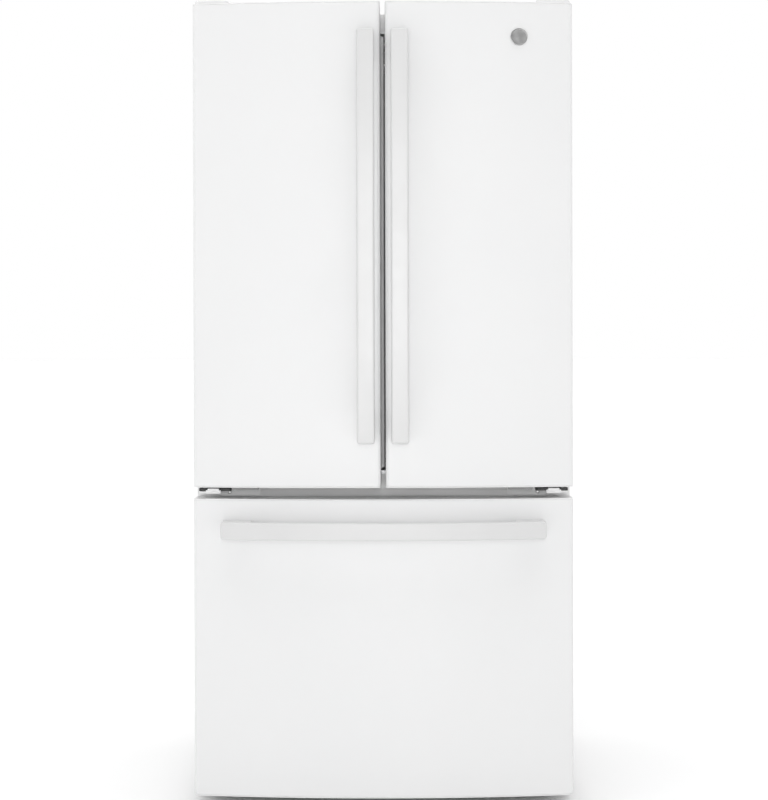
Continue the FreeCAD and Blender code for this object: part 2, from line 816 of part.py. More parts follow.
def center_hinges():
    """Bracket between doors and drawer: flange, arm, pin, closing cam and front lip."""
    made = []
    low = D["drawer_top"]
    arm_z = (low + 10, low + 14)
    cam_top = low + 20.4
    lip_front = HINGE_Y - 22
    for s in SIDES.values():
        flange = block(
            across(s, HALF - 140, HALF - 6), (CASE_FRONT - 3, CASE_FRONT), (low + 2, low + 23)
        )
        arm = block(across(s, HALF - 62, HALF - 10), (HINGE_Y - 18, CASE_FRONT), arm_z)
        lip = block(
            across(s, HALF - 57, HALF - 24), (lip_front, HINGE_Y - 18), (low + 9, low + 16.5)
        )
        tongue = block(
            across(s, HALF - 53, HALF - 28), (lip_front, HINGE_Y - 14), (arm_z[1], cam_top)
        )
        cam_y = (HINGE_Y - 14, HINGE_Y + 12)
        cam = block(across(s, HALF - 79, HALF - 8), cam_y, (arm_z[1], cam_top))
        cam = rounded(cam, 6, upright)
        pin = rod(D["pin_radius"], 40, (HINGE_X * s, HINGE_Y, arm_z[0]))
        made.append(fuse(flange, arm, lip, tongue, cam, pin))
    return group(*made)


# --- Levelling legs and rollers ------------------------------------------------------------------


def leveling_leg(side):
    """Foot and threaded stem, turned by hand or with a wrench on its hexagonal collar."""
    owner = body((LEG_X * side, LEG_Y, 0))
    r = D["leg_radius"]
    foot = [(0, 0), (17, 0), (19, 2), (19, 7), (12, 11), (r, 13)]
    return turned(owner, [*foot, (r, 56), (r - 1.5, 58), (0, 58)])


def rear_roller(side):
    """Wheel and axle in one piece, turning in the base frame's ears."""
    owner = body((ROLLER_X * side - 11, ROLLER_Y, D["roller_radius"]), TURNS["x"])
    r = D["roller_radius"]
    return turned(owner, [(0, -10), (4, -10), (4, 0), (r - 2, 0), (r, 2), (r, 20), (r - 2, 22),
                          (4, 22), (4, 32), (0, 32)])


# --- Doors and drawer front ----------------------------------------------------------------------


STOP_DROP = 7  # how far the door stop hangs below an upper door
UPRIGHT_ROUND = 8  # outer rounding of a door's upright edges
RETURN = 14  # width of the painted skin's return round the back of a door


def front_cylinder(shrink, z):
    return rod(FRONT_RADIUS - shrink, z[1] - z[0], (0, FRONT_CENTRE, z[0]))


def bowed(x, z, shrink, back, rounding):
    """A slab whose front is the common bow, shrunk inwards, with its upright edges rounded."""
    slab = block(x, (DOOR_FRONT - 9, back), z)
    shaped_front = common(slab, front_cylinder(shrink, z))
    ahead = back.value - 20
    return rounded(shaped_front, rounding, lambda e: upright(e) and e.BoundBox.YMax < ahead)


def skin(x, z):
    """Painted steel wrapped round the front and both edges, with a narrow return at the back."""
    t = D["steel"]
    cap = D["cap_height"]
    tall = (z[0] + cap, z[1] - cap)
    outside = bowed(x, tall, 0, DOOR_BACK, UPRIGHT_ROUND)
    inner = (tall[0] - 1, tall[1] + 1)
    inside = bowed((x[0] + t, x[1] - t), inner, t, DOOR_BACK - t, UPRIGHT_ROUND - t.value)
    mouth = block((x[0] + RETURN, x[1] - RETURN), (DOOR_BACK - 9, DOOR_BACK + 9), inner)
    return cut(outside, inside, mouth)


def end_caps(x, z, pins=(), stop=None):
    """The lower and the upper moulded cap of a door, each hollow on its inner side."""
    cap = D["cap_height"]
    inside = (x[0] + 4, x[1] - 4)
    low_hollow = block(inside, (DOOR_FRONT + 40, DOOR_BACK - 4), (z[0] + 3, z[0] + cap + 1))
    high_hollow = block(inside, (DOOR_FRONT + 40, DOOR_BACK - 4), (z[1] - cap - 1, z[1] - 3))
    low_hollow = common(low_hollow, front_cylinder(4, (z[0], z[0] + cap + 1)))
    high_hollow = common(high_hollow, front_cylinder(4, (z[1] - cap - 1, z[1])))
    bosses_low = [rod(10, cap, (p, HINGE_Y, z[0])) for p in pins]
    bosses_high = [rod(10, cap, (p, HINGE_Y, z[1] - cap)) for p in pins]
    bore = D["pin_radius"] + RUNNING
    low_bores = [rod(bore, cap + 2, (p, HINGE_Y, z[0] - 1)) for p in pins]
    high_bores = [rod(bore, cap + 2, (p, HINGE_Y, z[1] - cap - 1)) for p in pins]
    low = cut(bowed(x, (z[0], z[0] + cap), 0, DOOR_BACK, UPRIGHT_ROUND), low_hollow)
    high = cut(bowed(x, (z[1] - cap, z[1]), 0, DOOR_BACK, UPRIGHT_ROUND), high_hollow)
    if pins:
        low = cut(fuse(low, *bosses_low, *([stop] if stop else [])), *low_bores)
        high = cut(fuse(high, *bosses_high), *high_bores)
    return low, high


def inner_panel(x, z, ring_x, ring_z, rise):
    """Formed plastic back of a door with a raised hollow dike that stands into the compartment."""
    t = D["liner_wall"]
    wide = DIKE_WIDE
    sheet_back = (DOOR_BACK - t, DOOR_BACK)
    beside = RETURN + CLEAR
    tall = (z[0] + D["cap_height"], z[1] - D["cap_height"])
    plate = block((x[0] + beside, x[1] - beside), sheet_back, tall)
    ridge = (DOOR_BACK, DOOR_BACK + rise)
    outer = block(ring_x, ridge, ring_z)
    inner = block(
        (ring_x[0] + wide, ring_x[1] - wide),
        (DOOR_BACK, DOOR_BACK + rise + 5),
        (ring_z[0] + wide, ring_z[1] - wide),
    )
    hollow_y = (DOOR_BACK - t - 1, DOOR_BACK + rise - t)
    hollow_out = block(
        (ring_x[0] + t, ring_x[1] - t), hollow_y, (ring_z[0] + t, ring_z[1] - t)
    )
    hollow_in = block(
        (ring_x[0] + wide - t, ring_x[1] - wide + t), (DOOR_BACK - 20, DOOR_BACK + rise + 5),
        (ring_z[0] + wide - t, ring_z[1] - wide + t),
    )
    solid = cut(outer, inner)
    return cut(fuse(plate, solid), cut(hollow_out, hollow_in))


def gasket(x, z):
    """Magnetic seal: a soft square ring between the door's back and the case's flange."""
    wide = 17
    y = (DOOR_BACK, CASE_FRONT - CLEAR)
    return cut(
        block(x, y, z),
        block((x[0] + wide, x[1] - wide), (y[0] - 5, y[1] + 5), (z[0] + wide, z[1] - wide)),
    )


GRIP_ROUND = 7  # outer edges of the handle bars
GRIP_FILLET = 14  # where a grip runs into its posts


def upright_handle(side):
    """Bowed bar on two end posts, seated on the bowed door front."""
    half = (D["handle_high"] - D["handle_low"]) / 2
    middle = (D["handle_high"] + D["handle_low"]) / 2
    half_width = D["grip_width"] / 2
    sag = D["door_sag"]
    radius = (half * half + sag * sag) / (2 * sag)
    x = across(side, D["handle_offset"] - half_width, D["handle_offset"] + half_width)
    slab = block(x, (GRIP_FRONT - 5, DOOR_FRONT + 5), (D["handle_low"], D["handle_high"]))
    curve = rod(radius, 200, (x[0] - 50, GRIP_FRONT + radius, middle), "x")
    bar = rounded(common(slab, curve), GRIP_ROUND, lambda e: e.BoundBox.YMin < GRIP_FRONT.value + 14)
    grip = block(
        (x[0] - 5, x[1] + 5),
        (GRIP_FRONT, DOOR_FRONT + 20),
        (D["handle_low"] + D["post"], D["handle_high"] - D["post"]),
    )
    back_curve = rod(radius - D["grip_thick"], 200, (x[0] - 50, GRIP_FRONT + radius, middle), "x")
    opening = rounded(
        common(grip, back_curve),
        GRIP_FILLET,
        lambda e: e.BoundBox.YMax < DOOR_FRONT.value - 20
        and e.BoundBox.ZLength < 1
        and e.BoundBox.YLength < 1,
    )
    return cut(bar, opening, front_cylinder(0, (D["handle_low"] - 5, D["handle_high"] + 5)))


def drawer_handle():
    """The same bar laid flat across the drawer, bowed a little more than the front."""
    sag = D["bar_sag"]
    half = D["bar_half"]
    radius = (half * half + sag * sag) / (2 * sag)
    z = (D["bar_low"], D["bar_low"] + D["grip_width"])
    slab = block((-half, half), (GRIP_FRONT - 5, DOOR_BACK - 40), z)
    curve = rod(radius, 200, (0, GRIP_FRONT + radius, z[0] - 50))
    bar = rounded(common(slab, curve), GRIP_ROUND, lambda e: e.BoundBox.YMin < GRIP_FRONT.value + 27)
    past = (z[0] - 5, z[1] + 5)
    grip = block((D["post"] - half, half - D["post"]), (GRIP_FRONT, DOOR_BACK), past)
    back_curve = rod(radius - D["grip_thick"], 200, (0, GRIP_FRONT + radius, z[0] - 50))
    opening = rounded(
        common(grip, back_curve),
        GRIP_FILLET,
        lambda e: upright(e) and e.BoundBox.YMax < DOOR_BACK.value - 60,
    )
    return cut(bar, opening, front_cylinder(0, past))


def emblem():
    """Plain round metal badge with a raised rim, square to the bowed front where it sits."""
    angle = math.asin(298 / FRONT_RADIUS.value)
    seat_y = FRONT_CENTRE - FRONT_RADIUS * math.cos(angle)
    facing = FreeCAD.Rotation(V(0, 0, 1), math.degrees(angle)) * FreeCAD.Rotation(V(1, 0, 0), 90)
    owner = body((298, seat_y, 1685), facing)
    return turned(owner, [(0, 0), (18.5, 0), (18.5, 2.4), (17.5, 3), (16, 3), (15, 2.2), (0, 2.2)])


DIKE_RISE = 42
DIKE_WIDE = 28
DIKE_NEAR = 76
DIKE_FAR = INSIDE - 14
FLAP_X = -62
FLAP_Y = CASE_FRONT + 8


def door_bin(side, low, deep, high):
    """Clear tray that hangs between the dikes; its front is lower than its sides."""
    x = across(side, DIKE_NEAR + DIKE_WIDE, DIKE_FAR - DIKE_WIDE)
    y = (DOOR_BACK, DOOR_BACK + deep)
    return rounded(tub(x, y, (low, low + high), 3), 10, lambda e: upright(e)
                   and e.BoundBox.YMin > DOOR_BACK.value + deep - 1)


def door_bins(side, levels):
    return group(*[door_bin(side, low, deep, high) for low, deep, high in levels])


DAIRY = (1462, 104, 84)  # floor, depth and height of the dairy tray
LID_Z = 1560


LID_PIN = (DOOR_BACK + 8, LID_Z - 0.5)


def dairy_lid():
    """Clear flip-up lid over the dairy tray, hung on two pins in the dikes."""
    x = across(-1, DIKE_NEAR + DIKE_WIDE + 1, DIKE_FAR - DIKE_WIDE - 1)
    top = block(x, (DOOR_BACK + 6, DOOR_BACK + 110), (LID_Z - 2, LID_Z + 1))
    front = block(x, (DOOR_BACK + 107, DOOR_BACK + 110), (LID_Z - 60, LID_Z + 1))
    pin = rod(3, x[1] - x[0] + 6, (x[0] - 3, *LID_PIN), "x")
    return fuse(top, front, pin)


def lid_bores():
    low, high = across(-1, DIKE_NEAR + 20, DIKE_FAR - 20)
    return rod(3 + RUNNING, high - low, (low, *LID_PIN), "x")


FLAP_Z = (D["food_floor"] + 3, FOOD_TOP - 3)
KNUCKLE_Z = (D["food_floor"] + 17, FOOD_TOP - 17)


def flap_ears():
    """Two ears on the left door's dike that hold the mullion flap's stub pins."""
    made = []
    below = (KNUCKLE_Z[0] - 10, KNUCKLE_Z[0] - 1)
    above = (KNUCKLE_Z[1] + 1, KNUCKLE_Z[1] + 10)
    for low, high in (below, above):
        ear = block((-DIKE_NEAR, FLAP_X + 6), (FLAP_Y - 6, FLAP_Y + 6), (low, high))
        made.append(cut(ear, rod(3 + RUNNING, 20, (FLAP_X, FLAP_Y, low - 5))))
    return made


def mullion_flap():
    """Folding centre strip that backs the gap between the doors, with a stub pin at each end."""
    y = (CASE_FRONT + 0.4, CASE_FRONT + 15)
    plate = block((FLAP_X + 9, 2.6), y, FLAP_Z)
    tip = block((-1.4, 9), (CASE_FRONT + 9, CASE_FRONT + 20), (FLAP_Z[0] - 1, FLAP_Z[1] + 1))
    web = block((FLAP_X, FLAP_X + 9), (FLAP_Y - 5, FLAP_Y + 5), KNUCKLE_Z)
    knuckle = rod(7, KNUCKLE_Z[1] - KNUCKLE_Z[0], (FLAP_X, FLAP_Y, KNUCKLE_Z[0]))
    pin = rod(3, KNUCKLE_Z[1] - KNUCKLE_Z[0] + 16, (FLAP_X, FLAP_Y, KNUCKLE_Z[0] - 8))
    return fuse(cut(plate, tip), web, knuckle, pin)


def upper_door(name, side):
    x = across(side, EDGE, HALF)
    z = (D["door_floor"], D["door_top"])
    pin = HINGE_X * side
    stop_y = (DOOR_FRONT + 46, DOOR_BACK - 10)
    stop = block(across(side, HALF - 140, HALF - 87), stop_y, (z[0] - STOP_DROP, z[0] + 1))
    node(f"{name}_door_skin", skin(x, z))
    node(f"{name}_door_end_caps", group(*end_caps(x, z, (pin,), stop)))
    ring_x = across(side, DIKE_NEAR, DIKE_FAR)
    ring_z = (D["food_floor"] + 5, FOOD_TOP - 5)
    panel = inner_panel(x, z, ring_x, ring_z, DIKE_RISE)
    if side < 0:
        panel = cut(fuse(panel, *flap_ears()), lid_bores())
    node(f"{name}_door_liner", panel)
    seal_x = across(side, 14, HINGE_X)
    node(f"{name}_door_gasket", gasket(seal_x, (D["food_floor"] - 20, FOOD_TOP + 20)))
    node(f"{name}_door_handle", upright_handle(side))


def foot_corners(z):
    """What is trimmed off the drawer front to round its two lower corners, as seen from ahead."""
    radius = D["foot_round"]
    depth = DOOR_BACK - DOOR_FRONT + 20
    made = []
    for s in SIDES.values():
        front_to_back = (DOOR_FRONT - 10, DOOR_BACK + 10)
        square = block(across(s, HALF - radius, HALF + 5), front_to_back, (z - 5, z + radius))
        turn = rod(radius, depth, ((HALF - radius) * s, DOOR_FRONT - 10, z + radius), "y")
        made.append(cut(square, turn))
    return made


def freezer_drawer():
    x = (-HALF, HALF)
    z = (D["drawer_floor"], D["drawer_top"])
    low_cap, high_cap = end_caps(x, z)
    node("drawer_skin", skin(x, z))
    node("drawer_end_caps", group(cut(low_cap, *foot_corners(z[0])), high_cap))
    ring_x = (52 - INSIDE, INSIDE - 52)
    ring_z = (D["freezer_floor"] + 13, D["freezer_ceiling"] - 13)
    node("drawer_liner", inner_panel(x, z, ring_x, ring_z, 12))
    seal_z = (D["freezer_floor"] - 22, D["freezer_ceiling"] + 22)
    node("drawer_gasket", gasket((-HINGE_X, HINGE_X), seal_z))
    node("drawer_handle", drawer_handle())


# --- Freezer drawer slides and baskets -----------------------------------------------------------

SLIDE_BACK = STEP_FRONT - 6
SLIDE_Z = (D["slide_high"], D["slide_high"] + 34)


def rails(near, far, y, z):
    """A left and a right rail."""
    return group(*[block(across(s, near, far), y, z) for s in SIDES.values()])


def slide_outer_rails():
    return rails(INSIDE - 9, INSIDE, (CASE_FRONT + 14, SLIDE_BACK), SLIDE_Z)


def slide_middle_rails():
    y = (CASE_FRONT + 16, SLIDE_BACK - 4)
    return rails(INSIDE - 17, INSIDE - 9.4, y, (SLIDE_Z[0] + 4, SLIDE_Z[1] - 4))


def drawer_rails():
    """Inner slide members with a ledge for the basket, and the plates that carry the front."""
    y = (DOOR_BACK, SLIDE_BACK - 8)
    made = []
    for s in SIDES.values():
        rail = block(across(s, INSIDE - 24, INSIDE - 17.4), y, (SLIDE_Z[0] + 6, SLIDE_Z[1] - 6))
        ledge = block(across(s, INSIDE - 40, INSIDE - 24), y, (SLIDE_Z[0] + 6, SLIDE_Z[0] + 9))
        plate = block(
            across(s, INSIDE - 40, INSIDE - 18),
            (DOOR_BACK, DOOR_BACK + 4),
            (SLIDE_Z[0] - 60, SLIDE_Z[1] + 40),
        )
        made.append(fuse(rail, ledge, plate))
    return group(*made)


def wire_basket(x, y, z, bar, pitch):
    """An open basket of square bars welded at their crossings."""
    x0, x1 = (sized(c).value for c in x)
    y0, y1 = (sized(c).value for c in y)
    z0, z1 = (sized(c).value for c in z)
    bars = []

    def stick(lows, highs):
        bars.append(Part.makeBox(*[b - a for a, b in zip(lows, highs)], V(*lows)))

    middle = (z0 + z1) / 2
    for low, high in ((z1 - 2 * bar, z1), (middle - bar / 2, middle + bar / 2)):
        stick((x0, y0, low), (x1, y0 + bar, high))
        stick((x0, y1 - bar, low), (x1, y1, high))
        stick((x0, y0, low), (x0 + bar, y1, high))
        stick((x1 - bar, y0, low), (x1, y1, high))
    across_count = int((x1 - x0) / pitch)
    along_count = int((y1 - y0) / pitch)
    for n in range(across_count + 1):
        at = x0 + (x1 - x0 - bar) * n / across_count
        stick((at, y0, z0), (at + bar, y1, z0 + bar))
        stick((at, y0, z0), (at + bar, y0 + bar, z1 - bar))
        stick((at, y1 - bar, z0), (at + bar, y1, z1 - bar))
    for n in range(along_count + 1):
        at = y0 + (y1 - y0 - bar) * n / along_count
        stick((x0, at, z0), (x1, at + bar, z0 + bar))
        stick((x0, at, z0), (x0 + bar, at + bar, z1 - bar))
        stick((x1 - bar, at, z0), (x1, at + bar, z1 - bar))
    return bars[0].multiFuse(bars[1:]).removeSplitter()


def lower_basket():
    """Deep basket carried by the drawer rails on its two side hangers."""
    x = (44 - INSIDE, INSIDE - 44)
    z = (D["freezer_floor"] + 24, SLIDE_Z[0] + 22)
    basket = wire_basket(x, (CASE_FRONT + 18, STEP_FRONT - 16), z, 4, 44)
    hangers = []
    for s in SIDES.values():
        low, high = (sized(c).value for c in across(s, INSIDE - 48, INSIDE - 28))
        top = (SLIDE_Z[0] + 9).value
        start = (CASE_FRONT + 60).value
        hangers.append(Part.makeBox(high - low, 220, 4, V(low, start, top)))
    return shaped(basket.multiFuse(hangers).removeSplitter())


def upper_basket():
    """Shallow sliding basket on the liner's ledges."""
    x = (22 - INSIDE, INSIDE - 22)
    y = (CASE_FRONT + 62, COVER_Y - 10)
    basket = wire_basket(x, y, (454, 566), 4, 48)
    runners = []
    for s in SIDES.values():
        low, high = (sized(c).value for c in across(s, INSIDE - 24, INSIDE - 2))
        runners.append(Part.makeBox(high - low, (y[1] - y[0]).value, 4, V(low, y[0].value, 558.5)))
    return shaped(basket.multiFuse(runners).removeSplitter())


# --- Assembly ------------------------------------------------------------------------------------

node("outer_case", outer_case())
node("back_panel", back_panel())
node("cabinet_foam", cabinet_foam())
node("fresh_food_liner", fresh_food_liner())
node("freezer_liner", freezer_liner())
node("center_rail", center_rail())
node("base_frame", base_frame())
node("toe_grille", toe_grille())
node("machine_cover", machine_cover())
node("compressor", compressor())
node("condenser_coil", condenser_coil())
node("condenser_fan_motor", condenser_fan_motor())
node("condenser_fan", condenser_fan())
node("drain_pan", drain_pan())
node("evaporator", evaporator())
node("evaporator_cover", evaporator_cover())
node("evaporator_fan", evaporator_fan())
node("air_duct", air_duct())
node("control_panel", control_panel())
node("fridge_temp_button", temp_button(-40))
node("freezer_temp_button", temp_button(40))
node("light_lens", light_lens())
node("shelf_tracks", shelf_tracks())
node("shelf_glass", shelf_glass())
node("shelf_frames", shelf_frames())
node("crisper_cover", crisper_cover())
node("top_hinges", top_hinges())
node("hinge_covers", hinge_covers())
node("center_hinges", center_hinges())
node("slide_outer_rails", slide_outer_rails())
node("slide_middle_rails", slide_middle_rails())
node("drawer_rails", drawer_rails())
node("lower_basket", lower_basket())
node("upper_basket", upper_basket())
for side_name, side_sign in SIDES.items():
    node(f"{side_name}_crisper", crisper(side_sign))
    node(f"{side_name}_leveling_leg", leveling_leg(side_sign))
    node(f"{side_name}_rear_roller", rear_roller(side_sign))
    upper_door(side_name, side_sign)
node("left_door_bins", door_bins(-1, [(778, 46, 60), (992, 108, 88), (1226, 108, 88), DAIRY]))
node("right_door_bins", door_bins(1, [(778, 46, 60), (992, 108, 88), (1226, 108, 88), DAIRY]))
node("dairy_lid", dairy_lid())
node("mullion_flap", mullion_flap())
node("emblem", emblem())
freezer_drawer()

doc.recompute()
os.makedirs("parts", exist_ok=True)
for thing in doc.Objects:
    if "Invalid" in thing.State or "Error" in thing.State:
        raise RuntimeError(f"{thing.Name} ({thing.Label}) failed: {thing.State}")
for name, thing in NODES.items():
    shape = thing.Shape
    if shape.isNull() or not shape.isValid() or not shape.Solids:
        raise RuntimeError(f"{name} has no valid shape")
    shape.exportStep(f"parts/{name}.step")
print(len(NODES), "nodes")
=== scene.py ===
import json
import math
from types import SimpleNamespace

import bmesh
import bpy
from mathutils import Matrix, Vector


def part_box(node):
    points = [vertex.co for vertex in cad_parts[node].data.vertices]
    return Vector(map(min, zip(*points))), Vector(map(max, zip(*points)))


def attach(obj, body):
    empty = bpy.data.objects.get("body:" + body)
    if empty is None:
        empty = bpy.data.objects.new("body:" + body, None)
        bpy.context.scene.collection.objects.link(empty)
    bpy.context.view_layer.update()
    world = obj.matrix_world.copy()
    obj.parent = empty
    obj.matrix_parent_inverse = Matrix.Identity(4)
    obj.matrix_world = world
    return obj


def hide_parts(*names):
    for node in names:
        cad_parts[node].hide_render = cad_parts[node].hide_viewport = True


# The looks of a white french door refrigerator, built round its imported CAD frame. Shapes are drawn
# in millimetres in the frame's own axes (+Z up, doors facing -Y) and become metres in make().

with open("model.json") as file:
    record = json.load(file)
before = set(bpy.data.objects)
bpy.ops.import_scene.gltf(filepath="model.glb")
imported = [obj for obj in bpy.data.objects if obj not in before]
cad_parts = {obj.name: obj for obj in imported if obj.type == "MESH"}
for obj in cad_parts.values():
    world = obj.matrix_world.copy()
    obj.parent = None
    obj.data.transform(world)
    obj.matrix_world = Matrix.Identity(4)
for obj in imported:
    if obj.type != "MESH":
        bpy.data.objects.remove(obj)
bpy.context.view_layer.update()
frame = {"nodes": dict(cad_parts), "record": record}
MM = 0.001
RECORD = frame["record"]
BODY_OF = {n: body for body, nodes in RECORD["behaviour"]["bodies"].items() for n in nodes}
SLOT_OF = {part["node"]: part["material_slot"] for part in RECORD["subparts"]}
SIDES = {"left": -1, "right": 1}
SHARP_ANGLE = math.radians(38)
ROLL_ANGLE = math.radians(40)
FLAT_ANGLE = math.radians(0.4)
WELD_REACH = 1e-5


def span(node):
    """A CAD node's box at rest, in millimetres: x0, x1 and x, which is both, and so on."""
    low, high = (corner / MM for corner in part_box(node))
    box = SimpleNamespace(x0=low.x, x1=high.x, y0=low.y, y1=high.y, z0=low.z, z1=high.z)
    box.x, box.y, box.z = (box.x0, box.x1), (box.y0, box.y1), (box.z0, box.z1)
    return box


# --- Shapes --------------------------------------------------------------------------------------

PLANES = {
    "xy": lambda a, b, c: (a, b, c),
    "xz": lambda a, b, c: (a, c, b),
    "yz": lambda a, b, c: (c, a, b),
}


def corner_arc(centre, radius, start, steps):
    """Points of a quarter turn, from start degrees onwards."""
    for n in range(steps + 1):
        angle = math.radians(start + 90 * n / steps)
        yield centre[0] + radius * math.cos(angle), centre[1] + radius * math.sin(angle)


def rounded(a0, a1, b0, b1, radius, steps=5):
    """A rectangle with rounded corners, as points in a plane."""
    r = max(0.01, min(radius, (a1 - a0) * 0.49, (b1 - b0) * 0.49))
    corners = ((a1 - r, b0 + r, -90), (a1 - r, b1 - r, 0), (a0 + r, b1 - r, 90), (a0 + r, b0 + r, 180))
    return [point for a, b, start in corners for point in corner_arc((a, b), r, start, steps)]


def across(side, near, far):
    """(low, high) in X of a span that is near to far from the middle plane, on one side."""
    return (near, far) if side > 0 else (-far, -near)


class Shape:
    """Solids gathered into one mesh, in millimetres, each with a material from MATERIALS."""

    def __init__(self, material):
        self.mesh = bmesh.new()
        self.materials = []
        self.use(material)

    def use(self, material):
        """What is added from now on has the material of this name."""
        if material not in self.materials:
            self.materials.append(material)
        self.paint = self.materials.index(material)

    def add(self, part):
        """Takes in a part and frees it."""
        bmesh.ops.recalc_face_normals(part, faces=part.faces)
        for face in part.faces:
            face.material_index = self.paint
            face.smooth = True
        spare = bpy.data.meshes.new("spare")
        part.to_mesh(spare)
        part.free()
        self.mesh.from_mesh(spare)
        bpy.data.meshes.remove(spare)

    def block(self, x, y, z, roll=0.8, steps=2):
        """A box between (low, high) along each axis, with rolled edges."""
        part = bmesh.new()
        bmesh.ops.create_cube(part, size=1)
        sizes = [high - low for low, high in (x, y, z)]
        middle = [(high + low) / 2 for low, high in (x, y, z)]
        bmesh.ops.transform(part, matrix=Matrix.Diagonal((*sizes, 1)), verts=part.verts)
        bmesh.ops.translate(part, vec=middle, verts=part.verts)
        offset = min(roll, 0.45 * min(sizes))
        bmesh.ops.bevel(
            part, geom=part.edges[:], offset=offset, segments=steps, profile=0.5, affect="EDGES"
        )
        self.add(part)

    def loft(self, rings, caps=True, around=False):
        """Skins rings of equally many points. Around joins the last ring to the first."""
        part = bmesh.new()
        rows = [[part.verts.new(point) for point in ring] for ring in rings]
        pairs = list(zip(rows, rows[1:]))
        if around:
            pairs.append((rows[-1], rows[0]))
        for first, second in pairs:
            for n in range(len(first)):
                m = (n + 1) % len(first)
                part.faces.new((first[n], first[m], second[m], second[n]))
        if caps and not around:
            part.faces.new(rows[0])
            part.faces.new(rows[-1])
        self.add(part)

    def stack(self, levels, plane="xy", steps=5):
        """A loft through rounded rectangles, each (a0, a1, b0, b1, radius, depth)."""
        place = PLANES[plane]
        self.loft([[place(a, b, level[5]) for a, b in rounded(*level[:5], steps)] for level in levels])

    def inset_stack(self, a, b, radius, levels, plane="xy", steps=5):
        """A stack of one rounded rectangle, each level (how far it shrinks all round, depth)."""
        self.stack([(a[0] + i, a[1] - i, b[0] + i, b[1] - i, radius, c) for i, c in levels], plane, steps)

    def rim(self, a, b, radius, section, plane="xz", steps=5):
        """A section, (outward, depth) points, swept round a rounded rectangle."""
        place = PLANES[plane]
        rings = []
        base = rounded(*a, *b, radius, steps)
        wide = rounded(a[0] - 1, a[1] + 1, b[0] - 1, b[1] + 1, radius + 1, steps)
        for (p, q), (far_p, far_q) in zip(base, wide):
            out_p, out_q = far_p - p, far_q - q
            rings.append([place(p + out_p * u, q + out_q * u, depth) for u, depth in section])
        self.loft(rings, around=True)

    def lathe(self, profile, at, axis=(0, 0, 1), steps=40):
        """A profile of (radius, along) points turned round an axis."""
        turn = Vector(axis).to_track_quat("Z", "Y")
        rings = []
        for radius, along in profile:
            ring = []
            for n in range(steps):
                angle = 2 * math.pi * n / steps
                local = Vector((radius * math.cos(angle), radius * math.sin(angle), along))
                ring.append(turn @ local + Vector(at))
            rings.append(ring)
        self.loft(rings)

    def tube(self, points, radius, steps=8, around=False):
        """A round bar along points."""
        points = [Vector(p) for p in points]
        count = len(points)
        rings = []
        side = None
        for n, point in enumerate(points):
            before = points[n - 1] if n or around else point
            after = points[(n + 1) % count] if n + 1 < count or around else point
            along = (after - before).normalized()
            if side is None:
                side = along.orthogonal().normalized()
            side = (side - along * side.dot(along)).normalized()
            up = along.cross(side)
            ring = []
            for m in range(steps):
                angle = 2 * math.pi * m / steps
                ring.append(point + (side * math.cos(angle) + up * math.sin(angle)) * radius)
            rings.append(ring)
        self.loft(rings, around=around)

    def extrude(self, points, depth, plane="yz"):
        """A closed outline carried between two depths."""
        place = PLANES[plane]
        self.loft([[place(a, b, c) for a, b in points] for c in depth])

    def tray(self, x, y, z, wall, radius, lip=1.5, sweep=5.0):
        """An open-topped tray with a rounded floor edge and a beaded rim."""
        low, high = z
        walls = [(lip + sweep, low), (lip + 0.3 * sweep, low + 0.3 * sweep), (lip, low + sweep)]
        walls += [(lip, high - 6), (0, high - 5), (0, high - 0.6), (0.5, high)]
        inner = lip + wall
        walls += [(inner - 0.5, high), (inner, high - 0.6), (inner, low + wall + sweep)]
        walls += [(inner + 0.3 * sweep, low + wall + 0.3 * sweep), (inner + sweep, low + wall)]
        levels = [
            (x[0] + i, x[1] - i, y[0] + i, y[1] - i, max(radius - i, 1.5), height)
            for i, height in walls
        ]
        self.stack(levels)

    def screw(self, at, axis, radius=4.2, height=2.2):
        """A pan head screw with a round drive recess, on a surface at a point."""
        dome = [(radius, 0), (radius, height * 0.35), (radius * 0.86, height * 0.8)]
        self.lathe([*dome, (radius * 0.55, height), (radius * 0.5, height * 0.55)], at, axis, 20)


def make(name, shape, node=None, on=None):
    """Turns a shape into a piece that rides on a body, in place of the CAD node it stands for."""
    shape.mesh.transform(Matrix.Scale(MM, 4))
    mesh = bpy.data.meshes.new(name)
    shape.mesh.to_mesh(mesh)
    shape.mesh.free()
    for material in shape.materials:
        mesh.materials.append(MATERIALS[material])
    mesh.set_sharp_from_angle(angle=SHARP_ANGLE)
    piece = bpy.data.objects.new(name, mesh)
    bpy.context.scene.collection.objects.link(piece)
    weighted = piece.modifiers.new("weighted", "WEIGHTED_NORMAL")
    weighted.keep_sharp = True
    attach(piece, on or BODY_OF[node])
    if node:
        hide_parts(node)


def soften(node, width):
    """Rolls the edges of a CAD node that stays in view."""
    shown = frame["nodes"][node]
    weld = shown.modifiers.new("weld", "WELD")
    weld.merge_threshold = WELD_REACH
    flat = shown.modifiers.new("flat", "DECIMATE")
    flat.decimate_type = "DISSOLVE"
    flat.angle_limit = FLAT_ANGLE
    roll = shown.modifiers.new("roll", "BEVEL")
    roll.width = width * MM
    roll.segments = 2
    roll.limit_method = "ANGLE"
    roll.angle_limit = ROLL_ANGLE
    roll.harden_normals = True
    for polygon in shown.data.polygons:
        polygon.use_smooth = True


# --- Materials -----------------------------------------------------------------------------------


def set_range(node, *values):
    """Sets a Map Range node: from low, from high, to low, to high."""
    for socket, value in zip(("From Min", "From Max", "To Min", "To Max"), values):
        node.inputs[socket].default_value = value


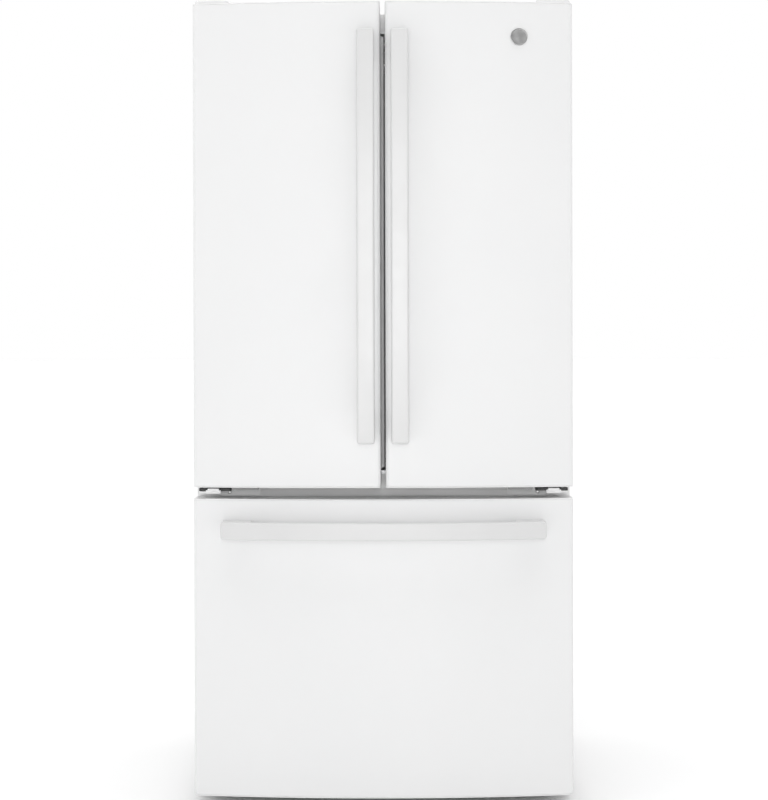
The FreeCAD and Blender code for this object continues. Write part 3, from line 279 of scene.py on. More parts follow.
class Surface:
    """A Principled material whose colour, roughness and relief come from procedural textures."""

    def __init__(self, name, **constants):
        self.material = bpy.data.materials.new(name)
        self.material.use_nodes = True
        self.tree = self.material.node_tree
        self.shader = self.tree.nodes["Principled BSDF"]
        for socket, value in constants.items():
            self.shader.inputs[socket.replace("_", " ")].default_value = value
        self.where = self.node("ShaderNodeTexCoord").outputs["Object"]
        self.normal = None

    def node(self, kind):
        return self.tree.nodes.new(kind)

    def link(self, output, socket):
        self.tree.links.new(output, socket)

    def noise(self, size, detail=3.0, stretch=(1, 1, 1)):
        """A cloudy pattern whose blotches are about size millimetres across."""
        mapping = self.node("ShaderNodeMapping")
        mapping.inputs["Scale"].default_value = stretch
        self.link(self.where, mapping.inputs["Vector"])
        made = self.node("ShaderNodeTexNoise")
        made.inputs["Scale"].default_value = 1 / (size * MM)
        made.inputs["Detail"].default_value = detail
        self.link(mapping.outputs["Vector"], made.inputs["Vector"])
        return made.outputs[0]

    def cells(self, size, output="Distance"):
        """A pattern of cells about size millimetres across."""
        made = self.node("ShaderNodeTexVoronoi")
        made.inputs["Scale"].default_value = 1 / (size * MM)
        self.link(self.where, made.inputs["Vector"])
        return made.outputs[output]

    def colour(self, pattern, low, high, start=0.35, end=0.65):
        """Base colour from low to high as the pattern goes from start to end."""
        ramp = self.node("ShaderNodeValToRGB")
        ramp.color_ramp.elements[0].position = start
        ramp.color_ramp.elements[1].position = end
        ramp.color_ramp.elements[0].color = (*low, 1)
        ramp.color_ramp.elements[1].color = (*high, 1)
        self.link(pattern, ramp.inputs["Fac"])
        self.link(ramp.outputs["Color"], self.shader.inputs["Base Color"])

    def rough(self, pattern, low, high):
        """Roughness from low to high over the middle of the pattern."""
        spread = self.node("ShaderNodeMapRange")
        set_range(spread, 0.3, 0.7, low, high)
        self.link(pattern, spread.inputs["Value"])
        self.link(spread.outputs["Result"], self.shader.inputs["Roughness"])

    def relief(self, pattern, depth, strength=1.0):
        """Bumps depth millimetres high. Each call adds to the last."""
        bump = self.node("ShaderNodeBump")
        bump.inputs["Strength"].default_value = strength
        bump.inputs["Distance"].default_value = depth * MM
        self.link(pattern, bump.inputs["Height"])
        if self.normal:
            self.link(self.normal, bump.inputs["Normal"])
        self.normal = bump.outputs["Normal"]
        self.link(self.normal, self.shader.inputs["Normal"])


def grey(value, warm=0.0):
    """A near neutral colour. Warm above zero leans to yellow, below zero to blue."""
    return (value + warm, value, value - warm)


def moulding(name, tone, rough=(0.34, 0.46), grain=0.6, depth=0.012, **constants):
    """Injection moulded plastic with a fine spark-eroded grain."""
    made = Surface(name, **constants)
    made.colour(made.noise(120), grey(tone * 0.975), grey(tone))
    made.rough(made.noise(25), *rough)
    made.relief(made.noise(grain, 2), depth)
    return made.material


def door_enamel():
    """Smooth satin enamel, with the faint orange peel of a sprayed and baked coat."""
    made = Surface("door_enamel", Coat_Weight=0.12, Coat_Roughness=0.2, IOR=1.45)
    made.colour(made.noise(420, 2), grey(0.745, -0.002), grey(0.754, -0.001))
    made.rough(made.noise(60, 3), 0.42, 0.47)
    made.relief(made.noise(1.8, 2), 0.003)
    return made.material


def handle_finish():
    """Sprayed bars, a little darker than the doors."""
    coat = {"Coat_Weight": 0.1, "Coat_Roughness": 0.2}
    return moulding("handle_finish", 0.64, (0.38, 0.46), grain=2.2, depth=0.006, **coat)


def case_enamel():
    """Enamel over embossed sheet, with a pebbled texture that hides fingerprints."""
    made = Surface("case_enamel", IOR=1.5)
    made.colour(made.noise(300, 3), grey(0.77), grey(0.80))
    made.rough(made.noise(40, 4), 0.34, 0.46)
    made.relief(made.cells(2.1), 0.05, 0.7)
    made.relief(made.noise(160, 1), 0.06)
    return made.material


def sheet_steel():
    """Zinc plated steel with a faint crystalline spangle."""
    made = Surface("plated_steel", Metallic=0.9, IOR=2.2)
    made.colour(made.cells(9, "Color"), grey(0.56, -0.006), grey(0.64, -0.004), 0.1, 0.9)
    made.rough(made.noise(12, 5), 0.32, 0.52)
    made.relief(made.noise(1.2, 2, (1, 1, 12)), 0.006)
    return made.material


def plain_metal(name, tone, rough, size=8.0):
    """Bare metal with drawing marks."""
    made = Surface(name, Metallic=1.0)
    made.colour(made.noise(size * 6), grey(tone * 0.92), grey(tone))
    made.rough(made.noise(size, 5, (1, 1, 8)), *rough)
    made.relief(made.noise(0.8, 2, (1, 1, 14)), 0.004)
    return made.material


def badge_metal():
    """Dark satin nickel with a fine frosted grain."""
    made = Surface("badge_metal", Metallic=1.0, Anisotropic=0.4)
    made.colour(made.noise(14), grey(0.31), grey(0.39))
    made.rough(made.noise(1.5, 4), 0.30, 0.42)
    made.relief(made.noise(0.5, 2), 0.004)
    return made.material


def seal_rubber():
    """Soft vinyl seal with a powdery bloom."""
    made = Surface("seal_rubber", IOR=1.45, Sheen_Weight=0.25, Sheen_Roughness=0.5)
    made.colour(made.noise(30, 4), grey(0.30), grey(0.37))
    made.rough(made.noise(9, 3), 0.55, 0.7)
    made.relief(made.noise(0.9, 3), 0.01)
    return made.material


def liner_plastic():
    """Vacuum formed liner, glossy and very slightly wavy."""
    made = Surface("liner_plastic", Coat_Weight=0.2, Coat_Roughness=0.12, Subsurface_Weight=0.05)
    made.colour(made.noise(260, 2), grey(0.76, -0.004), grey(0.80, -0.004))
    made.rough(made.noise(45, 3), 0.24, 0.34)
    made.relief(made.noise(70, 1), 0.04)
    return made.material


def clear_plastic(name, tint, rough, clear):
    """Clear moulding with flow marks and a haze that grows as clear falls from 1 to 0."""
    made = Surface(name, Transmission_Weight=clear, IOR=1.47)
    made.colour(made.noise(80), tuple(t * 0.97 for t in tint), tint)
    made.rough(made.noise(22, 4), *rough)
    made.relief(made.noise(55, 2, (1, 1, 3)), 0.05)
    return made.material


def shelf_glass():
    """Float glass with a slight green cast."""
    made = Surface("shelf_glass", Transmission_Weight=0.96, IOR=1.5)
    made.colour(made.noise(200), (0.90, 0.96, 0.93), (0.93, 0.98, 0.95))
    made.rough(made.noise(90, 5), 0.01, 0.05)
    made.relief(made.noise(240, 1), 0.05)
    return made.material


def cast_foam():
    """Cream coloured foam with open cells."""
    made = Surface("foam")
    made.colour(made.noise(20), (0.66, 0.58, 0.36), (0.74, 0.66, 0.44))
    made.rough(made.noise(8), 0.75, 0.9)
    made.relief(made.cells(2.5), 0.5)
    return made.material


def coated_wire():
    """Steel wire in a thick dipped coat that gathers a little along its length."""
    made = Surface("white_wire", Coat_Weight=0.3, Coat_Roughness=0.15)
    made.colour(made.noise(60), grey(0.76), grey(0.80))
    made.rough(made.noise(15), 0.28, 0.42)
    made.relief(made.noise(6, 2), 0.08)
    return made.material


def lamp_lens():
    """Frosted lamp cover, lit softly from behind."""
    made = Surface("lamp_lens", Transmission_Weight=0.5, Emission_Strength=0.25, IOR=1.45)
    made.shader.inputs["Emission Color"].default_value = (1.0, 0.97, 0.9, 1)
    made.colour(made.noise(18), grey(0.86), grey(0.92))
    made.rough(made.noise(7), 0.35, 0.5)
    made.relief(made.noise(1.4), 0.03)
    return made.material


def display_window():
    """Black gloss window of the control panel."""
    return moulding("display_window", 0.02, (0.06, 0.12), grain=30, depth=0.004, Coat_Weight=0.5)


MATERIALS = {
    "case_enamel": case_enamel(),
    "door_enamel": door_enamel(),
    "cap_plastic": moulding("cap_plastic", 0.79, (0.38, 0.5)),
    "handle_finish": handle_finish(),
    "liner_plastic": liner_plastic(),
    "white_plastic": moulding("white_plastic", 0.80),
    "white_metal": moulding("white_metal", 0.84, (0.3, 0.4), grain=1.5),
    "grey_plastic": moulding("grey_plastic", 0.30, (0.42, 0.55)),
    "black_plastic": moulding("black_plastic", 0.035, (0.4, 0.55)),
    "flap_plastic": moulding("flap_plastic", 0.78, (0.4, 0.52)),
    "seal_rubber": seal_rubber(),
    "foam": cast_foam(),
    "plated_steel": sheet_steel(),
    "bare_aluminium": plain_metal("bare_aluminium", 0.72, (0.28, 0.42)),
    "black_enamel": moulding("black_enamel", 0.03, (0.3, 0.45), grain=1.8, Coat_Weight=0.2),
    "white_wire": coated_wire(),
    "shelf_glass": shelf_glass(),
    "clear_plastic": clear_plastic("clear_plastic", (0.965, 0.98, 0.985), (0.05, 0.14), 0.84),
    "badge_metal": badge_metal(),
    "zinc_screw": plain_metal("zinc_screw", 0.62, (0.3, 0.45), size=3.0),
    "frosted_plastic": clear_plastic("frosted_plastic", (0.88, 0.91, 0.925), (0.32, 0.45), 0.55),
    "display_window": display_window(),
    "lamp_lens": lamp_lens(),
}

# --- Doors and drawer front ----------------------------------------------------------------------


def bow_radius(half, sag):
    """Radius of an arc that falls back by sag at half a chord from its middle."""
    return (half * half + sag * sag) / (2 * sag)


HALF = span("drawer_skin").x1
DOOR_FRONT = span("drawer_skin").y0
DOOR_BACK = span("drawer_skin").y1
CASE_FRONT = span("outer_case").y0
BOW = 28  # how far the middle of the front stands out past its sides
CORNER = 8  # rounding of a door's upright edges
CORNER_STEPS = 6
FRONT_STEPS = 44
FRONT_RADIUS = bow_radius(HALF, BOW)
FRONT_CENTRE = DOOR_FRONT + FRONT_RADIUS
CAP_LIP = 2.4  # height of a cap's visible lip
SEAM = 0.35  # gap between a lip and the painted front
FOOT_ROUND = 8  # rounding of the drawer's two lower corners
STOP_DROP = 7  # how far an upper door's stop hangs below it


def front_at(x, inset=0.0):
    """Y of the bowed front at x, shrunk inwards by inset."""
    return FRONT_CENTRE - math.sqrt((FRONT_RADIUS - inset) ** 2 - x * x)


def door_outline(x0, x1, inset, back):
    """Plan of a door: bowed front, rounded upright edges and a flat back. Inset shrinks it."""
    left, right = x0 + inset, x1 - inset
    radius = max(CORNER - inset, 0.8)

    def edge(end, inwards):
        for n in range(CORNER_STEPS + 1):
            angle = math.radians(90 * n / CORNER_STEPS)
            x = end + inwards * radius * (1 - math.cos(angle))
            yield x, front_at(x, inset) + radius * (1 - math.sin(angle))

    points = [(left, back), *edge(left, 1)]
    start, end = left + radius, right - radius
    for n in range(1, FRONT_STEPS):
        x = start + (end - start) * n / FRONT_STEPS
        points.append((x, front_at(x, inset)))
    return points + [*reversed(list(edge(right, -1))), (right, back)]


def rolled(low, high, roll):
    """(height, inset) pairs of an upright wall whose lower and upper edges are rolled."""
    pairs = []
    for degrees in (90, 60, 30, 0):
        angle = math.radians(degrees)
        pairs.append((low + roll * (1 - math.sin(angle)), roll * (1 - math.cos(angle))))
    return pairs + [(high - (z - low), inset) for z, inset in reversed(pairs)]


def foot_tuck(drop):
    """How far a round lower corner has turned in, at a drop below the height where it starts."""
    return FOOT_ROUND - math.sqrt(FOOT_ROUND**2 - min(drop, FOOT_ROUND) ** 2)


def door_heights(caps):
    """Lower and upper end of a door, without the stop that hangs below an upper door."""
    stop = STOP_DROP if caps.z0 > span("drawer_skin").z1 else 0
    return caps.z0 + stop, caps.z1


def door_slab(shape, x, z, back, inset=0.0, roll=1.0, foot=None):
    """A solid door plan between two heights. Foot is the height its round lower corners end at."""
    rings = []
    levels = rolled(*z, roll)
    if foot:
        below = [pair for pair in levels if pair[0] < z[0] + roll]
        above = [pair for pair in levels if pair[0] > foot]
        levels = below + [(z[0] + (foot - z[0]) * n / 6, 0.0) for n in range(1, 7)] + above
    for height, shrink in levels:
        tuck = foot_tuck(foot - height) if foot and height < foot else 0
        outline = door_outline(x[0] + tuck, x[1] - tuck, inset + shrink, back - shrink)
        rings.append([(a, b, height) for a, b in outline])
    shape.loft(rings)


def door_shell(name, node):
    """Painted front, folded round both upright edges, over the whole height between the lips."""
    skin, caps = span(node), span(node.replace("skin", "end_caps"))
    x = skin.x
    low, high = door_heights(caps)
    z = (low + CAP_LIP + SEAM, high - CAP_LIP - SEAM)
    foot = low + FOOT_ROUND if node == "drawer_skin" else None
    shape = Shape("door_enamel")
    door_slab(shape, x, z, DOOR_BACK - 3.4, foot=foot)
    tall = (foot or z[0], z[1])
    for near, far in ((x[0], x[0] + 14), (x[1] - 14, x[1])):
        shape.block((near, far), (DOOR_BACK - 6, DOOR_BACK), tall, 0.8)
    make(name, shape, node)


def door_caps(name, node, stop_side=0):
    """Moulded caps that close a door's ends, each with a lip that shows beyond the painted front."""
    caps = span(node)
    x = caps.x
    low, high = door_heights(caps)
    foot = low + FOOT_ROUND if node == "drawer_end_caps" else None
    shape = Shape("cap_plastic")
    lip = low + CAP_LIP
    tuck = foot_tuck(FOOT_ROUND - CAP_LIP / 2) if foot else 0
    door_slab(shape, (x[0] + tuck, x[1] - tuck), (low, lip), DOOR_BACK, 0.1)
    door_slab(shape, x, (high - CAP_LIP, high), DOOR_BACK, 0.1)
    inner = (x[0] + FOOT_ROUND, x[1] - FOOT_ROUND) if foot else x
    door_slab(shape, inner, (low + 1, low + 16), DOOR_BACK - 0.2, 1.3, 0.4)
    door_slab(shape, x, (high - 16, high - 1), DOOR_BACK - 0.2, 1.3, 0.4)
    if stop_side:
        # The stop is a real part, but its dark grey is painted shade: it stands in for the shadow under the
        # door's bottom, over the white hinge bracket.
        shape.use("grey_plastic")
        edge = across(stop_side, HALF - 140, HALF - 87)
        shape.block(edge, (DOOR_FRONT + 46, DOOR_BACK - 10), (caps.z0, low + 1), 0.9)
        shape.use("zinc_screw")
        for x_at in (HALF - 128, HALF - 99):
            shape.screw((x_at * stop_side, DOOR_FRONT + 62, caps.z0 + 0.3), (0, 0, -1), 3.4, 0.3)
    make(name, shape, node)


def front_pieces():
    """Fronts and end caps of both doors and the drawer."""
    for side, sign in SIDES.items():
        door_shell(f"{side}_door_front", f"{side}_door_skin")
        door_caps(f"{side}_door_cap_pair", f"{side}_door_end_caps", sign)
    door_shell("drawer_front", "drawer_skin")
    door_caps("drawer_cap_pair", "drawer_end_caps")


# --- Handles -------------------------------------------------------------------------------------

POST = 65  # length of an end post
GRIP = 18  # depth of the bar between its posts
FILLET = 14  # rounding where the bar meets a post
END_ROLL = 6
UPRIGHT_SAG = 12  # how far an upright bar's ends lie back of its middle
CROSS_SAG = 34
EMBLEM_X = 298


def bar_stations(low, middle):
    """Half of a handle, as (distance along, how much post fillet, how far the section shrinks)."""
    stations = []
    for degrees in range(0, 91, 18):
        angle = math.radians(degrees)
        stations.append((low + END_ROLL * (1 - math.cos(angle)), 1.0, END_ROLL * (1 - math.sin(angle))))
    post = low + POST
    stations.append((post - 0.01, 1.0, 0.0))
    for degrees in range(0, 91, 15):
        angle = math.radians(degrees)
        stations.append((post + FILLET * (1 - math.cos(angle)), 1 - math.sin(angle), 0.0))
    grip = post + FILLET
    return stations + [(grip + (middle - grip) * n / 16, 0.0, 0.0) for n in range(1, 16)]


def bar_handle(name, node, length, width, sag, seat_at, place):
    """A bowed bar with an end post at each end. Place turns (across, depth, along) into a point."""
    low, high = length
    middle = (low + high) / 2
    radius = bow_radius((high - low) / 2, sag)
    half = bar_stations(low, middle)
    other_half = [(2 * middle - along, fillet, end) for along, fillet, end in reversed(half)]
    rings = []
    for along, fillet, end in (*half, (middle, 0.0, 0.0), *other_half):
        front = span(node).y0 + radius - math.sqrt(radius * radius - (along - middle) ** 2)
        in_post = along <= low + POST or along >= high - POST
        back = seat_at(along) if in_post else front + GRIP + FILLET * fillet
        section = rounded(width[0] + end, width[1] - end, front + end, back, 4.5, 4)
        rings.append([place(a, b, along) for a, b in section])
    shape = Shape("handle_finish")
    shape.loft(rings)
    make(name, shape, node)


def handles():
    """An upright bar on each door and a bar across the drawer, their posts let into the fronts."""
    for side in SIDES:
        node = f"{side}_door_handle"
        box = span(node)
        seat = front_at((box.x0 + box.x1) / 2) + 1
        bar_handle(
            f"{side}_handle_bar", node, box.z, box.x, UPRIGHT_SAG,
            lambda along: seat, PLANES["xy"],
        )
    box = span("drawer_handle")
    bar_handle(
        "drawer_handle_bar", "drawer_handle", (-box.x1, box.x1), box.z, CROSS_SAG,
        lambda along: front_at(along) + 1.5, lambda a, b, c: (c, b, a),
    )


def emblem():
    """Plain round badge: a dished disc inside a raised rim, square to the bowed front."""
    node = span("emblem")
    at = (EMBLEM_X, front_at(EMBLEM_X), (node.z0 + node.z1) / 2)
    angle = math.asin((node.x0 + node.x1) / 2 / FRONT_RADIUS)
    out = Vector((math.sin(angle), -math.cos(angle), 0))
    shape = Shape("badge_metal")
    profile = [(18.3, 0), (18.5, 0.4), (18.5, 2.2), (18.1, 2.8), (17.4, 3.0), (16.6, 2.8), (16.1, 2.3)]
    profile += [(15.8, 2.0), (12, 1.9), (8, 1.95), (4, 2.05), (1, 2.1)]
    shape.lathe(profile, at, out, 72)
    make("round_emblem", shape, "emblem")


# --- Hinges, seals and the folding strip ---------------------------------------------------------


def hinge_covers():
    """Moulded covers with a lower rear step, each held by one screw."""
    box = span("hinge_covers")
    shape = Shape("cap_plastic")
    for sign in SIDES.values():
        x = across(sign, box.x1 - 76, box.x1)
        front = [(0, box.z1 - 12), (0, box.z1 - 6), (1.2, box.z1 - 2.2), (4, box.z1 - 0.4), (7, box.z1)]
        rear = [(1, box.z0 + 0.2), (0, box.z0 + 1), (0, box.z1 - 7), (1.5, box.z1 - 4), (5, box.z1 - 3)]
        shape.use("cap_plastic")
        for levels, y in ((front, (box.y0, box.y1 - 34)), (rear, (box.y0 + 54, box.y1))):
            shape.stack([(x[0] + i, x[1] - i, y[0] + i, y[1] - i, 9 - i * 0.6, z) for i, z in levels])
        middle = (x[0] + x[1]) / 2
        crown = box.z1 - 2
        collar = [(-1, crown - 1.4), (-1, crown - 0.6), (0, crown), (1, crown - 0.6), (1, crown - 1.4)]
        shape.rim((middle - 9, middle + 9), (box.y1 - 26, box.y1 - 8), 8.9, collar, "xy", 8)
        shape.use("zinc_screw")
        shape.screw((middle, box.y1 - 17, box.z1 - 3.2), (0, 0, 1), 4.6, 1.9)
    make("hinge_cover_pair", shape, "hinge_covers")


def center_hinges():
    """White bracket and front lip, a closing cam on top whose black is painted shade beside the lip, and a
    steel pin.
    """
    box = span("center_hinges")
    rail_z, arm, cam_top = box.z0, box.z0 + 8, box.z0 + 18.4
    pin_x, pin_y = HALF - 20, box.y0 + 22
    shape = Shape("white_metal")
    for sign in SIDES.values():
        shape.use("white_metal")
        flange = across(sign, HALF - 140, box.x1)
        shape.inset_stack(flange, (rail_z, rail_z + 21), 4, ((0, box.y1 - 3), (0, box.y1)), "xz")
        shape.block(across(sign, HALF - 54, HALF - 10), (pin_y - 18, box.y1), (arm, arm + 4), 1)
        lip = across(sign, HALF - 57, HALF - 24)
        shape.inset_stack(lip, (arm - 1, arm + 6.5), 1.6, ((0, box.y0 + 0.6), (0, pin_y - 15)), "xz")
        shape.block(across(sign, HALF - 53, HALF - 28), (box.y0, pin_y - 12), (arm + 4, cam_top), 1.2)
        # The cam is a real part, but its black is painted shade: it stands in for the shadow on the white
        # bracket either side of the lip.
        shape.use("black_plastic")
        cam = across(sign, HALF - 79, HALF - 8)
        shape.inset_stack(cam, (pin_y - 14, pin_y + 12), 6, ((0, arm + 4), (0, cam_top - 1), (1, cam_top)))
        shape.use("zinc_screw")
        shape.lathe([(4, arm), (4, box.z1 - 2), (2.6, box.z1)], (pin_x * sign, pin_y, 0), steps=24)
        shape.screw(((HALF - 72) * sign, box.y1 - 3, rail_z + 6), (0, -1, 0), 4, 2.2)
    make("center_hinge_pair", shape, "center_hinges")


def seal(name, node):
    """Magnetic seal: a bellows section run round the back of a door, mitred at its corners."""
    box = span(node)
    wide = 17
    back, front = box.y0, box.y1
    bellows = [(0, back), (0, back + 2.4), (3, back + 4), (0.8, back + 6.5), (3, back + 8.6)]
    bellows += [(0.6, front - 1), (1.6, front), (wide - 1.6, front), (wide - 0.6, front - 1)]
    bellows += [(wide - 3, back + 8.6), (wide - 0.8, back + 6.5), (wide - 3, back + 4)]
    bellows += [(wide, back + 2.4), (wide, back)]
    inner_x, inner_z = (box.x0 + wide, box.x1 - wide), (box.z0 + wide, box.z1 - wide)
    shape = Shape("seal_rubber")
    shape.rim(inner_x, inner_z, 1.2, bellows, steps=2)
    make(name, shape, node)


def mullion_flap():
    """Folding strip behind the gap between the doors, with a seal track on each long edge."""
    box = span("mullion_flap")
    pin_x, pin_y = box.x0 + 7, CASE_FRONT + 8
    x0, x1, y0, y1 = pin_x + 9, box.x1, box.y0, box.y1
    face = [(x0 + 1.5, y0), (x0 + 8, y0), (x0 + 9, y0 + 1.2), (x0 + 11, y0 + 1.2), (x0 + 12, y0)]
    face += [(x1 - 12, y0), (x1 - 11, y0 + 1.2), (x1 - 9, y0 + 1.2), (x1 - 8, y0), (x1 - 1.5, y0)]
    face += [(x1, y0 + 1.5), (x1, y0 + 7.5), (x1 - 1, y0 + 8.4), (x1 - 4.2, y0 + 8.6)]
    face += [(x1 - 4.2, y1 - 1.5), (x1 - 5.7, y1), (x0 + 1.5, y1), (x0, y1 - 1.5), (x0, y0 + 1.5)]
    shape = Shape("flap_plastic")
    shape.extrude(face, (box.z0 + 3, box.z1 - 3), "xy")
    web_z = (box.z0 + 14, box.z1 - 14)
    shape.block((pin_x, x0 + 1), (pin_y - 5, pin_y + 5), web_z, 0.8)
    barrel = [(5.8, web_z[0]), (7, web_z[0] + 1.2), (7, web_z[1] - 1.2), (5.8, web_z[1])]
    shape.lathe(barrel, (pin_x, pin_y, 0), steps=28)
    for z in ((box.z0, box.z0 + 9), (box.z1 - 9, box.z1)):
        shape.block((x0 + 0.6, x1 - 5), (y0 + 0.4, y1 - 0.4), z, 1.2)
    shape.use("zinc_screw")
    shape.lathe([(3, web_z[0] - 8), (3, web_z[1] + 8)], (pin_x, pin_y, 0), steps=20)
    make("folding_strip", shape, "mullion_flap")


# --- Liners, bins, shelves and drawers -----------------------------------------------------------

DIKE = 28  # width of the raised ring on a door's back
DRAWER_DIKE = 314  # half the width that the drawer's ring takes up
CRISPER_LEDGE = (964, 971.6)
BASKET_LEDGE = (552, 558)


def door_back(name, node, ring_x, ring_z, sign=0):
    """Formed back of a door: a flat sheet with a drafted, round-cornered dike pushed out of it."""
    box = span(node)
    shape = Shape("liner_plastic")
    sheet = [(0, box.y0), (0, DOOR_BACK - 0.5), (0.5, DOOR_BACK)]
    shape.inset_stack(box.x, box.z, 5, sheet, "xz")
    crest = box.y1
    near_x = (ring_x[0] + DIKE, ring_x[1] - DIKE)
    near_z = (ring_z[0] + DIKE, ring_z[1] - DIKE)
    high = crest - DOOR_BACK
    wall = [(-0.6, DOOR_BACK - 1), (0, DOOR_BACK + 0.4), (high * 0.04, crest - 7), (2.4, crest - 3)]
    wall += [(5, crest - 0.8), (9, crest)]
    section = wall + [(DIKE - u, y) for u, y in reversed(wall)]
    shape.rim(near_x, near_z, 9, section, steps=8)
    if sign < 0:
        flap = span("mullion_flap")
        pin_x, pin_y = flap.x0 + 7, CASE_FRONT + 8
        for z in ((flap.z0 + 4, flap.z0 + 13), (flap.z1 - 13, flap.z1 - 4)):
            shape.block((-ring_near(), pin_x + 5), (pin_y - 6, pin_y + 6), z, 1.5)
    make(name, shape, node)


def ring_near():
    """How far from the middle an upper door's dike starts."""
    return span("right_door_bins").x0 - DIKE


def door_backs():
    """Formed back and seal of both doors and the drawer."""
    bins = span("right_door_bins")
    flap = span("mullion_flap")
    for side, sign in SIDES.items():
        ring_x = across(sign, ring_near(), bins.x1 + DIKE)
        door_back(f"{side}_door_back", f"{side}_door_liner", ring_x, (flap.z0 + 2, flap.z1 - 2), sign)
        seal(f"{side}_door_seal", f"{side}_door_gasket")
    drawer = span("drawer_liner")
    ring_z = (drawer.z0 + 64, drawer.z1 - 31)
    door_back("drawer_back", "drawer_liner", (-DRAWER_DIKE, DRAWER_DIKE), ring_z)
    seal("drawer_seal", "drawer_gasket")


# Each row of door bins: (floor height, depth out from the door, wall height)
BIN_LEVELS = ((778, 46, 60), (992, 108, 88), (1226, 108, 88), (1462, 104, 84))


def door_bins():
    """Clear bins with a beaded rim, a deep finger step in front and shallow ribs."""
    for side, sign in SIDES.items():
        box = span(f"{side}_door_bins")
        shape = Shape("clear_plastic")
        for low, deep, high in BIN_LEVELS:
            x, y = (box.x0 + 0.3, box.x1 - 0.3), (DOOR_BACK + 0.3, DOOR_BACK + deep)
            shape.tray(x, y, (low, low + high), 2.6, 11)
            for n in range(1, 8):
                at = x[0] + (x[1] - x[0]) * n / 8
                rib_y, rib_z = (y[1] - 1.8, y[1] - 0.7), (low + 8, low + high - 12)
                shape.block((at - 0.8, at + 0.8), rib_y, rib_z, 0.4, 1)
        make(f"{side}_bin_set", shape, f"{side}_door_bins")


def dairy_lid():
    """Clear lid whose front rolls over into a drop face with a finger bead, on two pins."""
    box = span("dairy_lid")
    x = (box.x0 + 3, box.x1 - 3)
    top, front, back = box.z1 - 1.5, box.y1, DOOR_BACK + 6
    bend = 14

    def skin_line(inset):
        arc = corner_arc((front - bend, top - bend), bend - inset, 0, 6)
        return [(front - inset, box.z0 + 3), *arc, (back, top - inset)]

    outer, inner = skin_line(0), skin_line(3)
    shape = Shape("clear_plastic")
    shape.extrude(outer + list(reversed(inner)), x)
    shape.tube([(x[0] + 4, front - 2, box.z0 + 2.2), (x[1] - 4, front - 2, box.z0 + 2.2)], 2, 10)
    shape.lathe([(3, box.x0), (3, box.x1)], (0, DOOR_BACK + 8, box.z1 - 3), (1, 0, 0), 20)
    make("dairy_cover", shape, "dairy_lid")


def compartment_liners():
    """Vacuum formed liners with round corners, a flange at the mouth and a swept rear wall."""
    food = span("fresh_food_liner")
    inside, back = food.x1 - 10, food.y1 - 2.5
    floor_z, roof_z = food.z0 + 10, food.z1 - 4
    mouth = food.y0

    def room(i, y, low=floor_z, high=roof_z):
        return (i - inside, inside - i, low + i, high - i, 12, y)

    def flange(box, i, y):
        return (box.x0 + i, box.x1 - i, box.z0 + i, box.z1 - i, 3, y)

    shape = Shape("liner_plastic")
    levels = [room(-2.5, food.y1), room(-2.5, mouth + 2.5)]
    levels += [flange(food, 0, mouth + 2.5), flange(food, 0, mouth + 0.5), flange(food, 0.5, mouth)]
    levels += [room(-1.6, mouth), room(-0.4, mouth + 1), room(0, mouth + 4)]
    levels += [room(0, back - 14), room(1.2, back - 8), room(4.5, back - 3), room(12, back)]
    shape.stack(levels, "xz", 8)
    for sign in SIDES.values():
        shape.block(across(sign, inside - 6, inside + 1), (mouth + 120, back - 2), CRISPER_LEDGE, 2)
    make("food_compartment", shape, "fresh_food_liner")

    cold = span("freezer_liner")
    low, high, back = cold.z0 + 28, cold.z1 - 10, cold.y1 - 2.5
    rise, riser = span("evaporator_cover").z0, span("lower_basket").y1 + 16

    def bay(i, y, floor_z=low):
        return room(i, y, floor_z, high)

    shape = Shape("liner_plastic")
    levels = [bay(-2.5, cold.y1, rise), bay(-2.5, riser + 2.5, rise), bay(-2.5, riser + 2.5)]
    levels += [bay(-2.5, mouth + 2.5), flange(cold, 0, mouth + 2.5), flange(cold, 0, mouth + 0.5)]
    levels += [flange(cold, 0.5, mouth), bay(-1.6, mouth), bay(-0.4, mouth + 1), bay(0, mouth + 4)]
    levels += [bay(0, riser - 9), bay(0, riser - 2.6, low + 2.6), bay(0, riser, low + 9)]
    levels += [bay(0, riser, rise - 6), bay(0, riser + 1.8, rise - 1.8), bay(0, riser + 6, rise)]
    levels += [bay(0, back - 10, rise), bay(6, back, rise)]
    shape.stack(levels, "xz", 8)
    ledge_y = (mouth + 60, span("upper_basket").y1)
    for sign in SIDES.values():
        shape.block(across(sign, inside - 20, inside + 1), ledge_y, BASKET_LEDGE, 2)
    make("freezer_compartment", shape, "freezer_liner")


SHELF_LEVELS = (1210, 1440)


def shelves():
    """Glass panes in moulded rims, on tapered steel arms hooked into the ladders."""
    glass = span("shelf_glass")
    frames = span("shelf_frames")
    rims = Shape("white_plastic")
    panes = Shape("shelf_glass")
    lip = [(0, -2), (0, -6), (1, -6.6), (10, -6.6), (12, -4.5), (12, 3.5), (10.5, 5.6), (8, 6)]
    lip += [(5, 6), (3.2, 4.6), (1.2, 4.3), (0.6, 0)]
    for level in SHELF_LEVELS:
        for sign in SIDES.values():
            inner_x = across(sign, 16, frames.x1 - 12)
            inner_y = (frames.y0 + 12, glass.y1 - 4)
            rims.use("white_plastic")
            rims.rim(inner_x, inner_y, 4, [(u, level + z) for u, z in lip], "xy", 6)
            panes.block(across(sign, 13, glass.x1), glass.y, (level + 0.2, level + 4), 0.9)
            rims.use("white_metal")
            arm = [(frames.y0 + 30, -7), (frames.y0 + 32, -12), (150, -24), (200, -39)]
            arm += [(frames.y1 - 2, -40), (frames.y1, -36), (frames.y1, -7)]
            for x in (150, 345):
                outline = [(y, level + z) for y, z in arm]
                rims.extrude(outline, (x * sign - 1.5, x * sign + 1.5))
    make("shelf_rims", rims, "shelf_frames")
    make("shelf_panes", panes, "shelf_glass")


